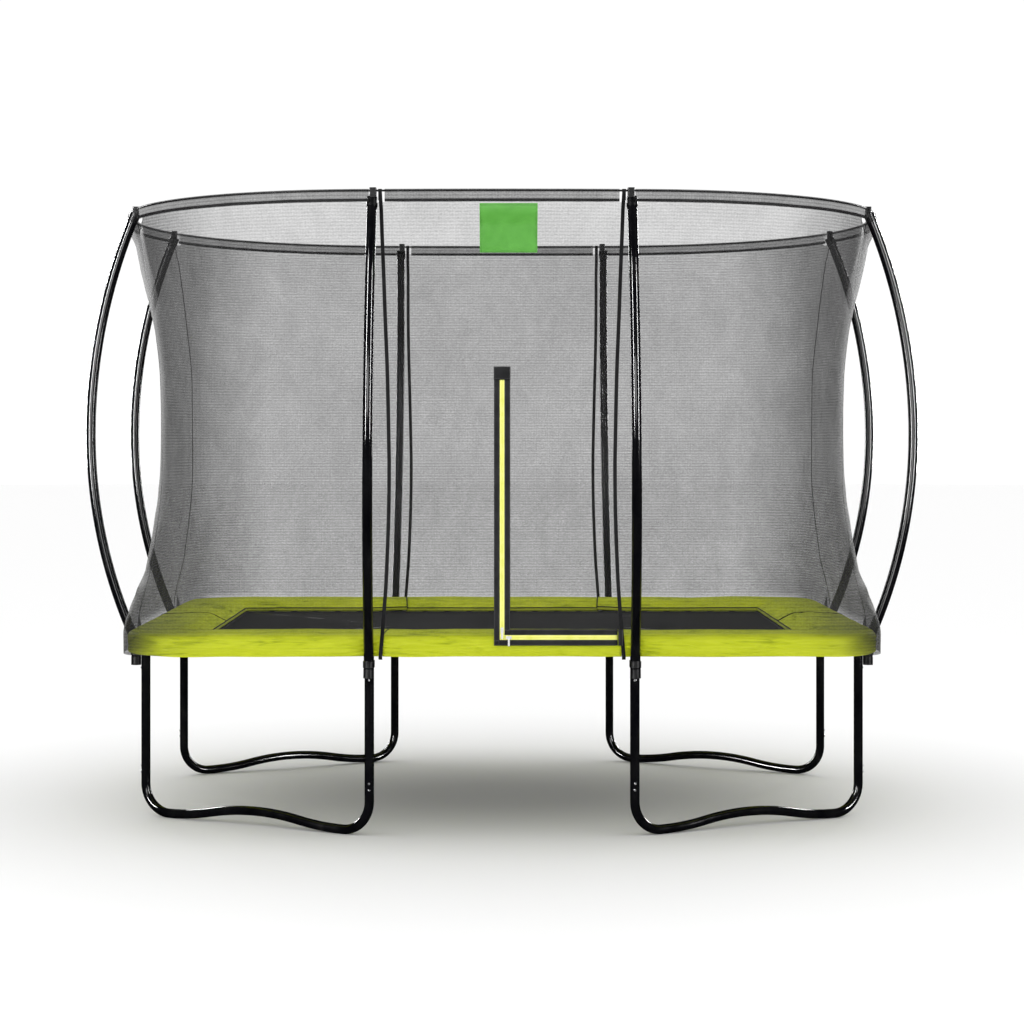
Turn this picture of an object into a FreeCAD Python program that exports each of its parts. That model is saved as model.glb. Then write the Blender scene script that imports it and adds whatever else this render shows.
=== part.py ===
"""Garden trampoline, rectangular, with a safety net on eight curved poles.

Units are millimetres. +Z is up, X runs along the long side and the entrance is on the -Y side.
The origin is on the ground under the middle of the frame.
Most pieces are made once in the +X +Y quarter and mirrored into the other three.
"""
import FreeCAD, Part
import math
import os

os.makedirs("parts", exist_ok=True)
V = FreeCAD.Vector
UP = V(0, 0, 1)

# Steel frame
TUBE_R = 19.0
WALL = 1.5
RAIL_X = 1506.0            # centreline of the short-side rails
RAIL_Y = 1051.0            # centreline of the long-side rails
RAIL_Z = 760.0
CORNER_R = 231.0           # centreline bend of the corner rails
POST_X = 532.0             # posts on the long sides
POST_Y = 560.0             # posts on the short sides
SOCKET_R = 21.5
SOCKET_BORE_R = 19.3
SOCKET_HALF = 45.0
LEG_TOP = 640.0
LEG_FOOT = 200.0
SPIGOT_R = 17.2
SPIGOT_BORE_R = 15.7
SPIGOT_LONG = 80.0
BASE_SPIGOT_LONG = 60.0
PLUG_LONG = 25.0           # how far a base tube's spigot is fixed inside it
PLUG_CLEAR = 0.8
BUTT_GAP = 0.4             # between two tubes that meet end to end
STUB_TOP = 752.0           # where a socket's stub ends inside its sleeve
BASE_BEND_R = 120.0
BASE_HUMP = 41.0           # how far the middle of a base tube stands above its two contact points

# Screws
SCREW_R = 2.2
SCREW_HOLE_R = 2.7
SCREW_HEAD_R = 4.6
SCREW_HEAD_H = 2.6
SCREW_LONG = 9.0
SCREW_HEAD_ROUND = 1.2
SCREW_STEP = 13.0          # from a joint to the screws beside it

# Net poles
POLE_R = 20.0
POLE_OFFSET = 41.0         # from the leg's axis to the pole's, at the foot
POLE_FOOT = 642.0
POLE_BEND_START = 708.0
POLE_BEND_R = 120.0
POLE_JOINT = 1610.0
POLE_LOWER_R = 2100.0
POLE_UPPER_R = 2400.0
POLE_TOP = 2540.0
POLE_SPIGOT_R = 18.1
POLE_SPIGOT_BORE_R = 16.6
POLE_SPIGOT_LONG = 70.0
POLE_RING_LONG = 20.0      # where the spigot is fixed inside the lower section
LONG_SIDE_LEAN = 4.4       # degrees that the ring pushes the long-side poles outward
LONG_SIDE_LEAN_IN = 0.7    # degrees that they lean towards the middle of their side
BRACKET_Z = 680.0
BRACKET_H = 26.0
BRACKET_HALF = 18.0
BRACKET_WALL = 3.0
FOOT_CAP_WALL = 0.9
FOOT_CAP_LONG = 36.0
FOOT_CAP_FLOOR = 3.8

# Top ring, a chain of arcs through the pole tops
ROD_R = 4.0
ROD_Z = 2563.0
RING_END_X = 1650.0
RING_END_Y = 1280.0
RING_A = (1550.0, 550.0)
RING_B = (505.0, 1268.0)
CAP_WALL = 2.2
CAP_LONG = 34.0            # cap's length below the pole's end
CAP_ROOF = 5.0
CAP_HALF = 13.0            # half width of a cap's eye block
CAP_ROUND = 4.0
CAP_PAST = 11.0            # eye block past the rod's or pole's axis, outward
CAP_UNDER = 26.0           # eye block below the rod's axis
CAP_OVER = 12.0
ROD_GAP = 1.0
SLEEVE_TOP = 2572.0
SLEEVE_FOOT = 2520.0
SLEEVE_HALF = 7.0
SLEEVE_BORE_R = 5.5
SLEEVE_GAP = 46.0          # clear length of rod on each side of a pole

# Net: height, seam A (x, y), seam B (x, y), bow of a side panel, power of the corner's superellipse
NET_SECTIONS = (
    (715.0, (1543.0, 528.0), (494.0, 1089.0), 0.0, 9.0),
    (800.0, (1543.0, 524.0), (487.0, 1089.0), 0.0, 9.0),
    (1056.0, (1490.0, 505.0), (470.0, 1082.3), 10.0, 3.5),
    (1450.0, (1449.0, 475.0), (460.0, 1072.0), 20.0, 2.5),
    (1830.0, (1455.0, 470.0), (459.0, 1062.0), 30.0, 2.2),
    (2150.0, (1490.0, 485.0), (463.0, 1112.0), 55.0, 2.0),
    (2519.0, (1542.0, 508.0), (462.0, 1260.0), 96.0, 1.75),
)
NET_T = 2.0
SIDE_CHORDS = 6
CORNER_CHORDS = 6
SEAM_GAP = 0.5
STRAP_W = 24.0
STRAP_T = 1.6
STRAP_LIFT = 0.6           # from the net's face to the strap's back
STRAP_INSET = 1.0          # from the seam's line to the strap's edge
GORES = 3
GORE_GAP = 0.001           # share of a corner panel
LONG_BOW = 0.1             # share of the side panels' bow that the long-side panels have

# Notches in net and pads round the poles: (outward from, to, height from, to, half width)
FOOT_NOTCH = (12.0, 90.0, 690.0, 806.0, 24.0)
TOP_NOTCH = (-60.0, 60.0, 2440.0, 2600.0, 32.0)

# Entrance in the front net
DOOR_FOOT = 800.0          # middle of the horizontal zip
DOOR_TOP = 1830.0
DOOR_RIGHT = 461.0
ZIP_HALF = 9.5
BAND_HALF = 32.5
ZIP_LIFT = 1.0             # how far bindings and zip stand proud of the net
END_PATCH = 52.0           # top of the upper end patch above the doorway
END_PATCH_W = 20.0
END_PATCH_GAP = 2.5
FOLD_GAP = 0.5             # from the zip's edge to the flap's
FLAP_GAP = 1.0
BAND_END_GAP = 6.0         # from the fold line to the flap binding's lower end
BAND_TOP_GAP = 16.0        # from the fold line's top to the flap binding's
STRIP_END_GAP = 2.0        # from the fold line's foot to the zip strip's end
SLIDER_W = 12.0
SLIDER_L = 22.0
SLIDER_T = 4.0
SLIDER_LIFT = 1.4          # from the net's outer face to the slider's back
SLIDER_ROUND = 1.6
SLIDER_UP = 29.0           # upright zip's slider above the zips' meeting
SLIDER_ACROSS = 27.0       # level zip's slider beside it
EAR_OUT = 5.2              # from a slider's middle to each ear
EAR_T = 1.6
EAR_LONG = 5.0
EAR_HALF = 2.6
PIN_R = 1.5
PIN_OUT = 3.2              # from a slider's face to its pin's axis
PIN_CLEAR = 0.5
PULL_L = 34.0
PULL_W = 7.6
PULL_T = 1.8
EYE_R = 2.9
PATCH_X = (-88.0, 139.0)
PATCH_Z = (2328.0, 2516.0)

# Pads
PAD_TOP = 812.0
PAD_UNDER = 786.0
SKIRT_FOOT = 722.0
PAD_OUT_X = 1533.0
PAD_OUT_Y = 1078.0
PAD_IN_X = 1233.0
PAD_IN_Y = 773.0
SKIRT_T = 4.0
PAD_SPLIT_X = 480.0
PAD_ROUND = 10.0
PAD_INNER_ROUND = 12.0
PAD_GAP = 0.6

# Jumping mat and its springs
MAT_X = 1260.0
MAT_Y = 800.0
MAT_T = 2.4
MAT_Z = 755.0
MAT_CORNER_R = 40.0
HEM_W = 38.0
HEM_T = 2.0
HEM_CORNER_R = 12.0
RING_BAR = 4.0
RING_HALF = 22.0
RING_OUT = 34.0
RING_TIP_HALF = 5.0
RING_HOLE_HALF = 15.0
RING_HOLE_TIP_HALF = 2.4
RING_TIP_GAP = 1.4         # from a ring's tip to its spring's hook
RING_ROOT_GAP = 0.8        # from the mat's edge to a ring
SPRING_R = 11.0
SPRING_BODY = 150.0
HOOK_R = 2.0
HOOK_HOLE_R = 3.6
HOOK_PAST = 9.0            # hook's length inside the rail's wall
LONG_PITCH = 106.0
LONG_COUNT = 11            # springs on each half of a long side
SHORT_PITCH = 102.0
SHORT_COUNT = 7            # springs on each half of a short side, beside the middle one
BEYOND = 60.0              # how far cutting tools reach past what they cut


def save(name, solids):
    """Write one node; several separate solids become one compound."""
    shape = solids[0] if len(solids) == 1 else Part.makeCompound(solids)
    assert shape.isValid(), name
    assert all(s.isClosed() for s in shape.Solids), name
    shape.exportStep(f"parts/{name}.step")


def quarter(shape, side_x, side_y):
    """The +X +Y shape mirrored into the quarter given by two signs."""
    if side_x < 0:
        shape = shape.mirror(V(0, 0, 0), V(1, 0, 0))
    if side_y < 0:
        shape = shape.mirror(V(0, 0, 0), V(0, 1, 0))
    return shape


def quarters():
    for side_y, end in ((-1, "front"), (1, "back")):
        for side_x, hand in ((-1, "left"), (1, "right")):
            yield side_x, side_y, end, hand


def line(a, b):
    return Part.LineSegment(a, b).toShape()


def arc(a, middle, b):
    return Part.Arc(a, middle, b).toShape()


def pipe(edges, outer, inner):
    """A hollow tube along tangent edges."""
    first = edges[0]
    start = first.valueAt(first.FirstParameter)
    along = first.tangentAt(first.FirstParameter)
    path = Part.Wire(edges)
    skins = []
    for radius in (outer, inner):
        ring = Part.Wire(Part.makeCircle(radius, start, along))
        skins.append(path.makePipeShell([ring], True, False))
    return skins[0].cut(skins[1])


def turned(profile, centre):
    """A body of revolution about a vertical axis, from (radius, z) points."""
    points = [V(r, 0, z) for r, z in profile]
    face = Part.Face(Part.makePolygon(points + [points[0]]))
    solid = face.revolve(V(0, 0, 0), UP, 360)
    solid.translate(V(centre[0], centre[1], 0))
    return solid


def cylinder(radius, start, direction, length):
    return Part.makeCylinder(radius, length, start, direction)


def box(low, high):
    return Part.makeBox(high[0] - low[0], high[1] - low[1], high[2] - low[2], V(*low))


def joined(solids):
    shape = solids[0].multiFuse(solids[1:]).removeSplitter()
    return shape.Solids[0]


# ---- posts: A stands on the short side, B on the long side

POSTS = {
    "A": {"at": (RAIL_X, POST_Y), "out": V(1, 0, 0), "along": V(0, 1, 0)},
    "B": {"at": (POST_X, RAIL_Y), "out": V(0, 1, 0), "along": V(1, 0, 0)},
}


def post_point(post, out, z):
    """A point at a distance outward from a post's axis."""
    at = post["at"]
    return V(at[0], at[1], z) + post["out"] * out


def screw_places(post):
    """The outer-face screws of one post: two at the base joint and one at the socket joint."""
    heights = (LEG_FOOT - SCREW_STEP, LEG_FOOT + SCREW_STEP, LEG_TOP - SCREW_STEP)
    return [post_point(post, TUBE_R, z) for z in heights]


def screw(place, out):
    shank = cylinder(SCREW_R, place - out * SCREW_LONG, out, SCREW_LONG)
    head = cylinder(SCREW_HEAD_R, place, out, SCREW_HEAD_H)
    rim = [e for e in head.Edges if (e.CenterOfMass - place - out * SCREW_HEAD_H).Length < 0.01]
    head = head.makeFillet(SCREW_HEAD_ROUND, rim[:1])
    return joined([shank, head])


def screw_hole(place, out):
    return cylinder(SCREW_HOLE_R, place - out * (SCREW_LONG + 3), out, SCREW_LONG + 6)


def drilled(shape, post):
    for place in screw_places(post):
        shape = shape.cut(screw_hole(place, post["out"]))
    return shape


def leg(post):
    at = V(post["at"][0], post["at"][1], LEG_FOOT)
    length = LEG_TOP - LEG_FOOT - BUTT_GAP
    tube = cylinder(TUBE_R, at, UP, length).cut(cylinder(TUBE_R - WALL, at, UP, length))
    return drilled(tube, post)


def socket(post):
    """T-piece: a sleeve over the butting rails with a spigotted stub that enters the leg."""
    profile = (
        (SPIGOT_BORE_R, LEG_TOP - SPIGOT_LONG), (SPIGOT_R, LEG_TOP - SPIGOT_LONG), (SPIGOT_R, LEG_TOP),
        (TUBE_R, LEG_TOP), (TUBE_R, STUB_TOP), (SPIGOT_BORE_R, STUB_TOP),
    )
    stub = turned(profile, post["at"])
    middle = V(post["at"][0], post["at"][1], RAIL_Z)
    along = post["along"]
    sleeve = cylinder(SOCKET_R, middle - along * SOCKET_HALF, along, 2 * SOCKET_HALF)
    bore = cylinder(SOCKET_BORE_R, middle - along * BEYOND, along, 2 * BEYOND)
    return drilled(joined([stub, sleeve]).cut(bore), post)


def base():
    """U-shaped floor tube from post A to post B, with a low hump between its two contact points."""
    a = V(POSTS["A"]["at"][0], POSTS["A"]["at"][1], 0)
    b = V(POSTS["B"]["at"][0], POSTS["B"]["at"][1], 0)
    span = (b - a).Length
    run = (b - a).normalize()

    def at(s, z):
        return a + run * s + V(0, 0, z)

    low = TUBE_R
    bend = BASE_BEND_R
    knee = bend * (1 - math.sqrt(0.5))
    quarter_run = (span / 2 - bend) / 2
    swing = 2 * math.atan(BASE_HUMP / (2 * quarter_run))
    curve_r = quarter_run / math.sin(swing)
    sag = curve_r * (1 - math.cos(swing / 2))
    half_run = curve_r * math.sin(swing / 2)
    rise = BASE_HUMP / 2
    top = low + BASE_HUMP
    edges = [
        line(at(0, LEG_FOOT), at(0, low + bend)),
        arc(at(0, low + bend), at(knee, low + knee), at(bend, low)),
        arc(at(bend, low), at(bend + half_run, low + sag), at(bend + quarter_run, low + rise)),
        arc(at(bend + quarter_run, low + rise), at(span / 2 - half_run, top - sag),
            at(span / 2, top)),
        arc(at(span / 2, top), at(span / 2 + half_run, top - sag),
            at(span - bend - quarter_run, low + rise)),
        arc(at(span - bend - quarter_run, low + rise), at(span - bend - half_run, low + sag),
            at(span - bend, low)),
        arc(at(span - bend, low), at(span - knee, low + knee), at(span, low + bend)),
        line(at(span, low + bend), at(span, LEG_FOOT)),
    ]
    shape = pipe(edges, TUBE_R, TUBE_R - WALL)
    profile = (
        (SPIGOT_BORE_R, LEG_FOOT - PLUG_LONG), (TUBE_R - PLUG_CLEAR, LEG_FOOT - PLUG_LONG),
        (TUBE_R - PLUG_CLEAR, LEG_FOOT),
        (SPIGOT_R, LEG_FOOT), (SPIGOT_R, LEG_FOOT + BASE_SPIGOT_LONG),
        (SPIGOT_BORE_R, LEG_FOOT + BASE_SPIGOT_LONG),
    )
    shape = joined([shape] + [turned(profile, post["at"]) for post in POSTS.values()])
    for post in POSTS.values():
        shape = drilled(shape, post)
    return shape


# ---- rails and the spring layout

def spring_lines():
    """(ring tip, rail point) pairs of one quarter, with the side they belong to."""
    rows = []
    tip_x = MAT_X + RING_OUT + RING_TIP_GAP
    tip_y = MAT_Y + RING_OUT + RING_TIP_GAP
    rail_x = RAIL_X - TUBE_R
    rail_y = RAIL_Y - TUBE_R
    for k in range(LONG_COUNT):
        x = LONG_PITCH * (k + 0.5)
        rows.append(("long", V(x, tip_y, RAIL_Z), V(x, rail_y, RAIL_Z)))
    for k in range(SHORT_COUNT + 1):
        y = SHORT_PITCH * k
        rows.append(("short", V(tip_x, y, RAIL_Z), V(rail_x, y, RAIL_Z)))
    corner = V(MAT_X - MAT_CORNER_R, MAT_Y - MAT_CORNER_R, RAIL_Z)
    out = V(1, 1, 0).normalize()
    reach = MAT_CORNER_R + RING_OUT + RING_TIP_GAP
    bend = V(RAIL_X - CORNER_R, RAIL_Y - CORNER_R, RAIL_Z)
    rail = bend + out * (CORNER_R - TUBE_R)
    rows.append(("corner", corner + out * reach, rail))
    return rows


def hook_hole(row):
    tip, rail = row[1], row[2]
    out = (rail - tip).normalize()
    return cylinder(HOOK_HOLE_R, rail - out * 8, out, 16)


def rail_straight(half, middle, along):
    start = middle - along * half
    tube = cylinder(TUBE_R, start, along, 2 * half)
    return tube.cut(cylinder(TUBE_R - WALL, start, along, 2 * half))


def corner_rail():
    """Bent tube from socket B to socket A."""
    z = RAIL_Z
    cx, cy = RAIL_X - CORNER_R, RAIL_Y - CORNER_R
    k = CORNER_R * math.sqrt(0.5)
    edges = [
        line(V(POST_X + BUTT_GAP, RAIL_Y, z), V(cx, RAIL_Y, z)),
        arc(V(cx, RAIL_Y, z), V(cx + k, cy + k, z), V(RAIL_X, cy, z)),
        line(V(RAIL_X, cy, z), V(RAIL_X, POST_Y + BUTT_GAP, z)),
    ]
    return pipe(edges, TUBE_R, TUBE_R - WALL)


def spring(row):
    tip, rail = row[1], row[2]
    out = (rail - tip).normalize()
    length = (rail - tip).Length
    body_start = tip + out * ((length - SPRING_BODY) / 2)
    body = cylinder(SPRING_R, body_start, out, SPRING_BODY)
    hooks = cylinder(HOOK_R, tip, out, length + HOOK_PAST)
    return joined([body, hooks])


def mat_ring(row):
    """Triangular wire ring at the mat's edge, drawn flat and turned towards its spring."""
    tip, rail = row[1], row[2]
    out = (rail - tip).normalize()
    side = V(-out.y, out.x, 0)
    root = tip - out * (RING_OUT + RING_ROOT_GAP)
    z = MAT_Z - RING_BAR / 2 - RAIL_Z

    def point(o, s):
        return root + out * o + side * s + V(0, 0, z)

    outer = [point(0, -RING_HALF), point(0, RING_HALF), point(RING_OUT, RING_TIP_HALF),
             point(RING_OUT, -RING_TIP_HALF)]
    hole_tip = RING_OUT - RING_BAR
    inner = [point(RING_BAR, -RING_HOLE_HALF), point(RING_BAR, RING_HOLE_HALF),
             point(hole_tip, RING_HOLE_TIP_HALF), point(hole_tip, -RING_HOLE_TIP_HALF)]
    faces = [Part.Face(Part.makePolygon(p + [p[0]])) for p in (outer, inner)]
    frame, hole = [f.extrude(V(0, 0, RING_BAR)) for f in faces]
    return frame.cut(hole).Solids[0]


def rounded_plate(half_x, half_y, radius, z0, z1):
    plate = box((-half_x, -half_y, z0), (half_x, half_y, z1))
    upright = [e for e in plate.Edges if abs(e.tangentAt(e.FirstParameter).z) > 0.9]
    return plate.makeFillet(radius, upright)


# ---- net poles

def pole_points(lean):
    """Outline points of a pole in its own plane: distance out from the leg's axis, and height.

    A straight foot, a bend outward, a long arc to the joint and a longer one to the top. A lean in
    degrees turns both long arcs outward about the start of an upright pole's bend.
    """
    turn = math.radians(lean)
    reach = POLE_LOWER_R + POLE_BEND_R
    bend_x = POLE_OFFSET + POLE_BEND_R
    rise = POLE_JOINT - POLE_BEND_START
    dx = bend_x - math.sqrt(reach ** 2 - rise ** 2) - POLE_OFFSET
    centre = (POLE_OFFSET + dx * math.cos(turn) + rise * math.sin(turn),
              POLE_BEND_START - dx * math.sin(turn) + rise * math.cos(turn))
    bend_z = centre[1] - math.sqrt(reach ** 2 - (bend_x - centre[0]) ** 2)
    bend_turn = math.asin((centre[1] - bend_z) / reach)

    def on(middle, radius, angle):
        return (middle[0] + radius * math.cos(angle), middle[1] + radius * math.sin(angle))

    joint = on(centre, POLE_LOWER_R, -turn)
    upper = on(joint, -POLE_UPPER_R, -turn)
    ring_turn = POLE_RING_LONG / POLE_LOWER_R
    spigot_turn = POLE_SPIGOT_LONG / POLE_UPPER_R
    top_turn = math.asin((POLE_TOP - POLE_JOINT) / POLE_UPPER_R)
    return {
        "foot": (POLE_OFFSET, POLE_FOOT),
        "bend": (POLE_OFFSET, bend_z),
        "bend_mid": on((bend_x, bend_z), -POLE_BEND_R, -bend_turn / 2),
        "touch": on((bend_x, bend_z), -POLE_BEND_R, -bend_turn),
        "low_mid": on(centre, POLE_LOWER_R, -(bend_turn + turn) / 2),
        "joint": joint,
        "ring": on(centre, POLE_LOWER_R, -turn - ring_turn),
        "ring_mid": on(centre, POLE_LOWER_R, -turn - ring_turn / 2),
        "spigot_mid": on(upper, POLE_UPPER_R, -turn + spigot_turn / 2),
        "spigot": on(upper, POLE_UPPER_R, -turn + spigot_turn),
        "up_mid": on(upper, POLE_UPPER_R, -turn + top_turn / 2),
        "top": on(upper, POLE_UPPER_R, -turn + top_turn),
    }


def pole(post, lean, lean_in):
    """Lower and upper pole sections, and the top's centre and direction."""
    spot = {n: post_point(post, p[0], p[1]) for n, p in pole_points(lean).items()}
    lower_edges = [line(spot["foot"], spot["bend"]), arc(spot["bend"], spot["bend_mid"], spot["touch"]),
                   arc(spot["touch"], spot["low_mid"], spot["joint"])]
    lower = pipe(lower_edges, POLE_R, POLE_R - WALL)
    ring = pipe([arc(spot["ring"], spot["ring_mid"], spot["joint"])], POLE_R - PLUG_CLEAR,
                POLE_SPIGOT_BORE_R)
    spigot = pipe([arc(spot["joint"], spot["spigot_mid"], spot["spigot"])], POLE_SPIGOT_R,
                  POLE_SPIGOT_BORE_R)
    lower = joined([lower, ring, spigot])
    edge = arc(spot["joint"], spot["up_mid"], spot["top"])
    upper = pipe([edge], POLE_R, POLE_R - WALL)
    upper.translate(V(0, 0, BUTT_GAP))
    top = edge.valueAt(edge.LastParameter)
    heading = edge.tangentAt(edge.LastParameter)
    pivot = pole_pivot(post)
    turn = FreeCAD.Rotation(post["out"], lean_in)
    for shape in (lower, upper):
        shape.rotate(pivot, post["out"], lean_in)
    top = pivot + turn.multVec(top - pivot)
    return lower, upper, top, turn.multVec(heading)


def pole_bracket(post):
    """Clamp that wraps the leg stub and the pole foot."""
    z = BRACKET_Z
    leg_at = post_point(post, 0, z)
    pole_at = post_point(post, POLE_OFFSET, z)
    solids = [cylinder(TUBE_R + BRACKET_WALL, leg_at, UP, BRACKET_H),
              cylinder(POLE_R + BRACKET_WALL, pole_at, UP, BRACKET_H)]
    inset = BRACKET_WALL + 1
    low = post_point(post, inset, z) - post["along"] * BRACKET_HALF
    high = post_point(post, POLE_OFFSET - inset, z + BRACKET_H) + post["along"] * BRACKET_HALF
    low_corner = tuple(min(a, b) for a, b in zip(low, high))
    high_corner = tuple(max(a, b) for a, b in zip(low, high))
    solids.append(box(low_corner, high_corner))
    shape = joined(solids)
    for radius, axis in ((TUBE_R + 0.2, leg_at), (POLE_R + FOOT_CAP_WALL, pole_at)):
        shape = shape.cut(cylinder(radius, axis - UP * BEYOND, UP, 2 * BEYOND))
    for place, out in bracket_screw_places(post):
        shape = shape.cut(screw_hole(place, out))
    return shape


def bracket_screw_places(post):
    """The two side faces of a clamp's waist, with their outward directions."""
    waist = post_point(post, POLE_OFFSET / 2 - 0.5, BRACKET_Z + BRACKET_H / 2)
    return [(waist + post["along"] * (side * BRACKET_HALF), post["along"] * side) for side in (-1, 1)]


def foot_cap(post, lean_in):
    """Plastic cap over the lower end of a pole, tilted with it."""
    centre = post_point(post, POLE_OFFSET, 0)
    low = POLE_FOOT - 4
    rim = low + FOOT_CAP_LONG
    floor = low + FOOT_CAP_FLOOR
    outer = POLE_R + FOOT_CAP_WALL
    inner = POLE_R + 0.1
    profile = ((0, low), (outer, low), (outer, rim), (inner, rim), (inner, floor), (0, floor))
    cap = turned(profile, (centre.x, centre.y))
    cap.rotate(pole_pivot(post), post["out"], lean_in)
    return cap


def pole_pivot(post):
    return post_point(post, POLE_OFFSET, POLE_BEND_START)


def top_cap(post, top, heading, ring_point):
    """Plastic cap on a pole's upper end, with an eye block for the ring rod."""
    cap = cylinder(POLE_R + CAP_WALL, top - heading * CAP_LONG, heading, CAP_LONG + CAP_ROOF)
    out = post["out"]
    top_out = top.dot(out)
    ring_out = ring_point.dot(out)
    inner = min(top_out, ring_out) - CAP_HALF
    outer = max(top_out, ring_out) + CAP_PAST
    flat_centre = ring_point - out * ring_out
    low = flat_centre + out * inner - post["along"] * CAP_HALF
    high = flat_centre + out * outer + post["along"] * CAP_HALF
    block = box((min(low.x, high.x), min(low.y, high.y), ROD_Z - CAP_UNDER),
                (max(low.x, high.x), max(low.y, high.y), ROD_Z + CAP_OVER))
    upright = [e for e in block.Edges if abs(e.tangentAt(e.FirstParameter).z) > 0.9]
    block = block.makeFillet(CAP_ROUND, upright)
    shape = joined([cap, block])
    return shape.cut(cylinder(POLE_R + 0.7, top - heading * BEYOND, heading, BEYOND + 1))


# ---- top ring

def ring_arcs():
    """The ring's three arc kinds in the +X +Y quarter: centre, radius, start and end angles."""
    ax, ay = RING_A
    bx, by = RING_B
    side_cx = (RING_END_X ** 2 - ax ** 2 - ay ** 2) / (2 * (RING_END_X - ax))
    side_r = RING_END_X - side_cx
    side_end = math.atan2(ay, ax - side_cx)
    ux, uy = -math.cos(side_end), -math.sin(side_end)
    gap_x, gap_y = bx - ax, by - ay
    corner_r = (gap_x ** 2 + gap_y ** 2) / (2 * (gap_x * ux + gap_y * uy))
    corner_c = (ax + ux * corner_r, ay + uy * corner_r)
    corner_end = math.atan2(by - corner_c[1], bx - corner_c[0])
    front_r = (bx ** 2 + (RING_END_Y - by) ** 2) / (2 * (RING_END_Y - by))
    front_start = math.atan2(by - (RING_END_Y - front_r), bx)
    return {
        "side": ((side_cx, 0.0), side_r, -side_end, side_end),
        "corner": (corner_c, corner_r, side_end, corner_end),
        "front": ((0.0, RING_END_Y - front_r), front_r, front_start, math.pi - front_start),
    }


def swept_arc(face_at, arc_data, trim):
    """Revolve a face about an arc's own centre, trimmed by a length at each end."""
    centre, radius, start, end = arc_data
    cut = trim / radius
    face = face_at(radius)
    face.rotate(V(0, 0, 0), UP, math.degrees(start + cut))
    solid = face.revolve(V(0, 0, 0), UP, math.degrees(end - start - 2 * cut))
    solid.translate(V(centre[0], centre[1], 0))
    return solid


def rod_face(radius):
    circle = Part.makeCircle(ROD_R, V(radius, 0, ROD_Z), V(0, 1, 0))
    return Part.Face(Part.Wire(circle))


def sleeve_face(radius):
    points = [V(radius - SLEEVE_HALF, 0, SLEEVE_FOOT), V(radius + SLEEVE_HALF, 0, SLEEVE_FOOT),
              V(radius + SLEEVE_HALF, 0, SLEEVE_TOP), V(radius - SLEEVE_HALF, 0, SLEEVE_TOP)]
    face = Part.Face(Part.makePolygon(points + [points[0]]))
    hole = Part.Face(Part.Wire(Part.makeCircle(SLEEVE_BORE_R, V(radius, 0, ROD_Z), V(0, 1, 0))))
    return face.cut(hole).Faces[0]


def all_ring_pieces(face_at, trim):
    arcs = ring_arcs()
    side = swept_arc(face_at, arcs["side"], trim)
    front = swept_arc(face_at, arcs["front"], trim)
    corner = swept_arc(face_at, arcs["corner"], trim)
    solids = [side, quarter(side, -1, 1), front, quarter(front, 1, -1)]
    solids += [quarter(corner, sx, sy) for sx, sy, _, _ in quarters()]
    return solids


# ---- net

def side_point(section, t, inset):
    """Point of the side panel from seam A (t = 0) to its mirror image (t = 1)."""
    _, (ax, ay), _, bow, _ = section
    return V(ax + bow * 4 * t * (1 - t) - inset, (ay - SEAM_GAP) * (1 - 2 * t), section[0])


def long_point(section, t, inset):
    """Point of a long-side panel from its left seam (t = 0) to its right one (t = 1)."""
    _, _, (bx, by), bow, _ = section
    return V((bx - SEAM_GAP) * (2 * t - 1), by + LONG_BOW * bow * 4 * t * (1 - t) - inset, section[0])


def corner_point(section, t, inset):
    """Point of the corner panel from seam A (t = 0) to seam B (t = 1)."""
    _, (ax, ay), (bx, by), _, power = section
    turn = math.radians(90 * t)
    a = ax - bx - inset
    b = by - ay - inset
    cos_part = max(math.cos(turn), 0.0) ** (2 / power)
    sin_part = max(math.sin(turn), 0.0) ** (2 / power)
    return V(bx + SEAM_GAP + a * cos_part, ay + SEAM_GAP + b * sin_part, section[0])


def net_solid(point_at, t_from, t_to, chords, sections):
    """A thin ruled wall through the sections, between two places along a panel."""
    wires = []
    for section in sections:
        steps = [t_from + (t_to - t_from) * k / chords for k in range(chords + 1)]
        outer = [point_at(section, t, 0) for t in steps]
        inner = [point_at(section, t, NET_T) for t in reversed(steps)]
        loop = outer + inner
        wires.append(Part.makePolygon(loop + [loop[0]]))
    return Part.makeLoft(wires, True, True)


def pole_clearances():
    """Boxes round the poles' feet and tops, where the net and the pads are notched."""
    boxes = []
    for key, post in POSTS.items():
        ring = V(*(RING_A if key == "A" else RING_B), 0)
        for notch, spot in ((FOOT_NOTCH, post_point(post, 0, 0)), (TOP_NOTCH, ring)):
            out_low, out_high, z_low, z_high, half = notch
            low = spot + post["out"] * out_low - post["along"] * half
            high = spot + post["out"] * out_high + post["along"] * half
            boxes.append(box((min(low.x, high.x), min(low.y, high.y), z_low),
                             (max(low.x, high.x), max(low.y, high.y), z_high)))
    return boxes


def notched(shape, boxes):
    for clearance in boxes:
        shape = shape.cut(clearance)
    return shape


def net_corner_panel(clearances):
    """Corner panel in equal gores."""
    gores = []
    for k in range(GORES):
        low = k / GORES + (GORE_GAP if k else 0.0)
        high = (k + 1) / GORES - (GORE_GAP if k + 1 < GORES else 0.0)
        gore = net_solid(corner_point, low, high, CORNER_CHORDS // GORES, NET_SECTIONS)
        gores.append(notched(gore, clearances))
    return gores


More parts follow.
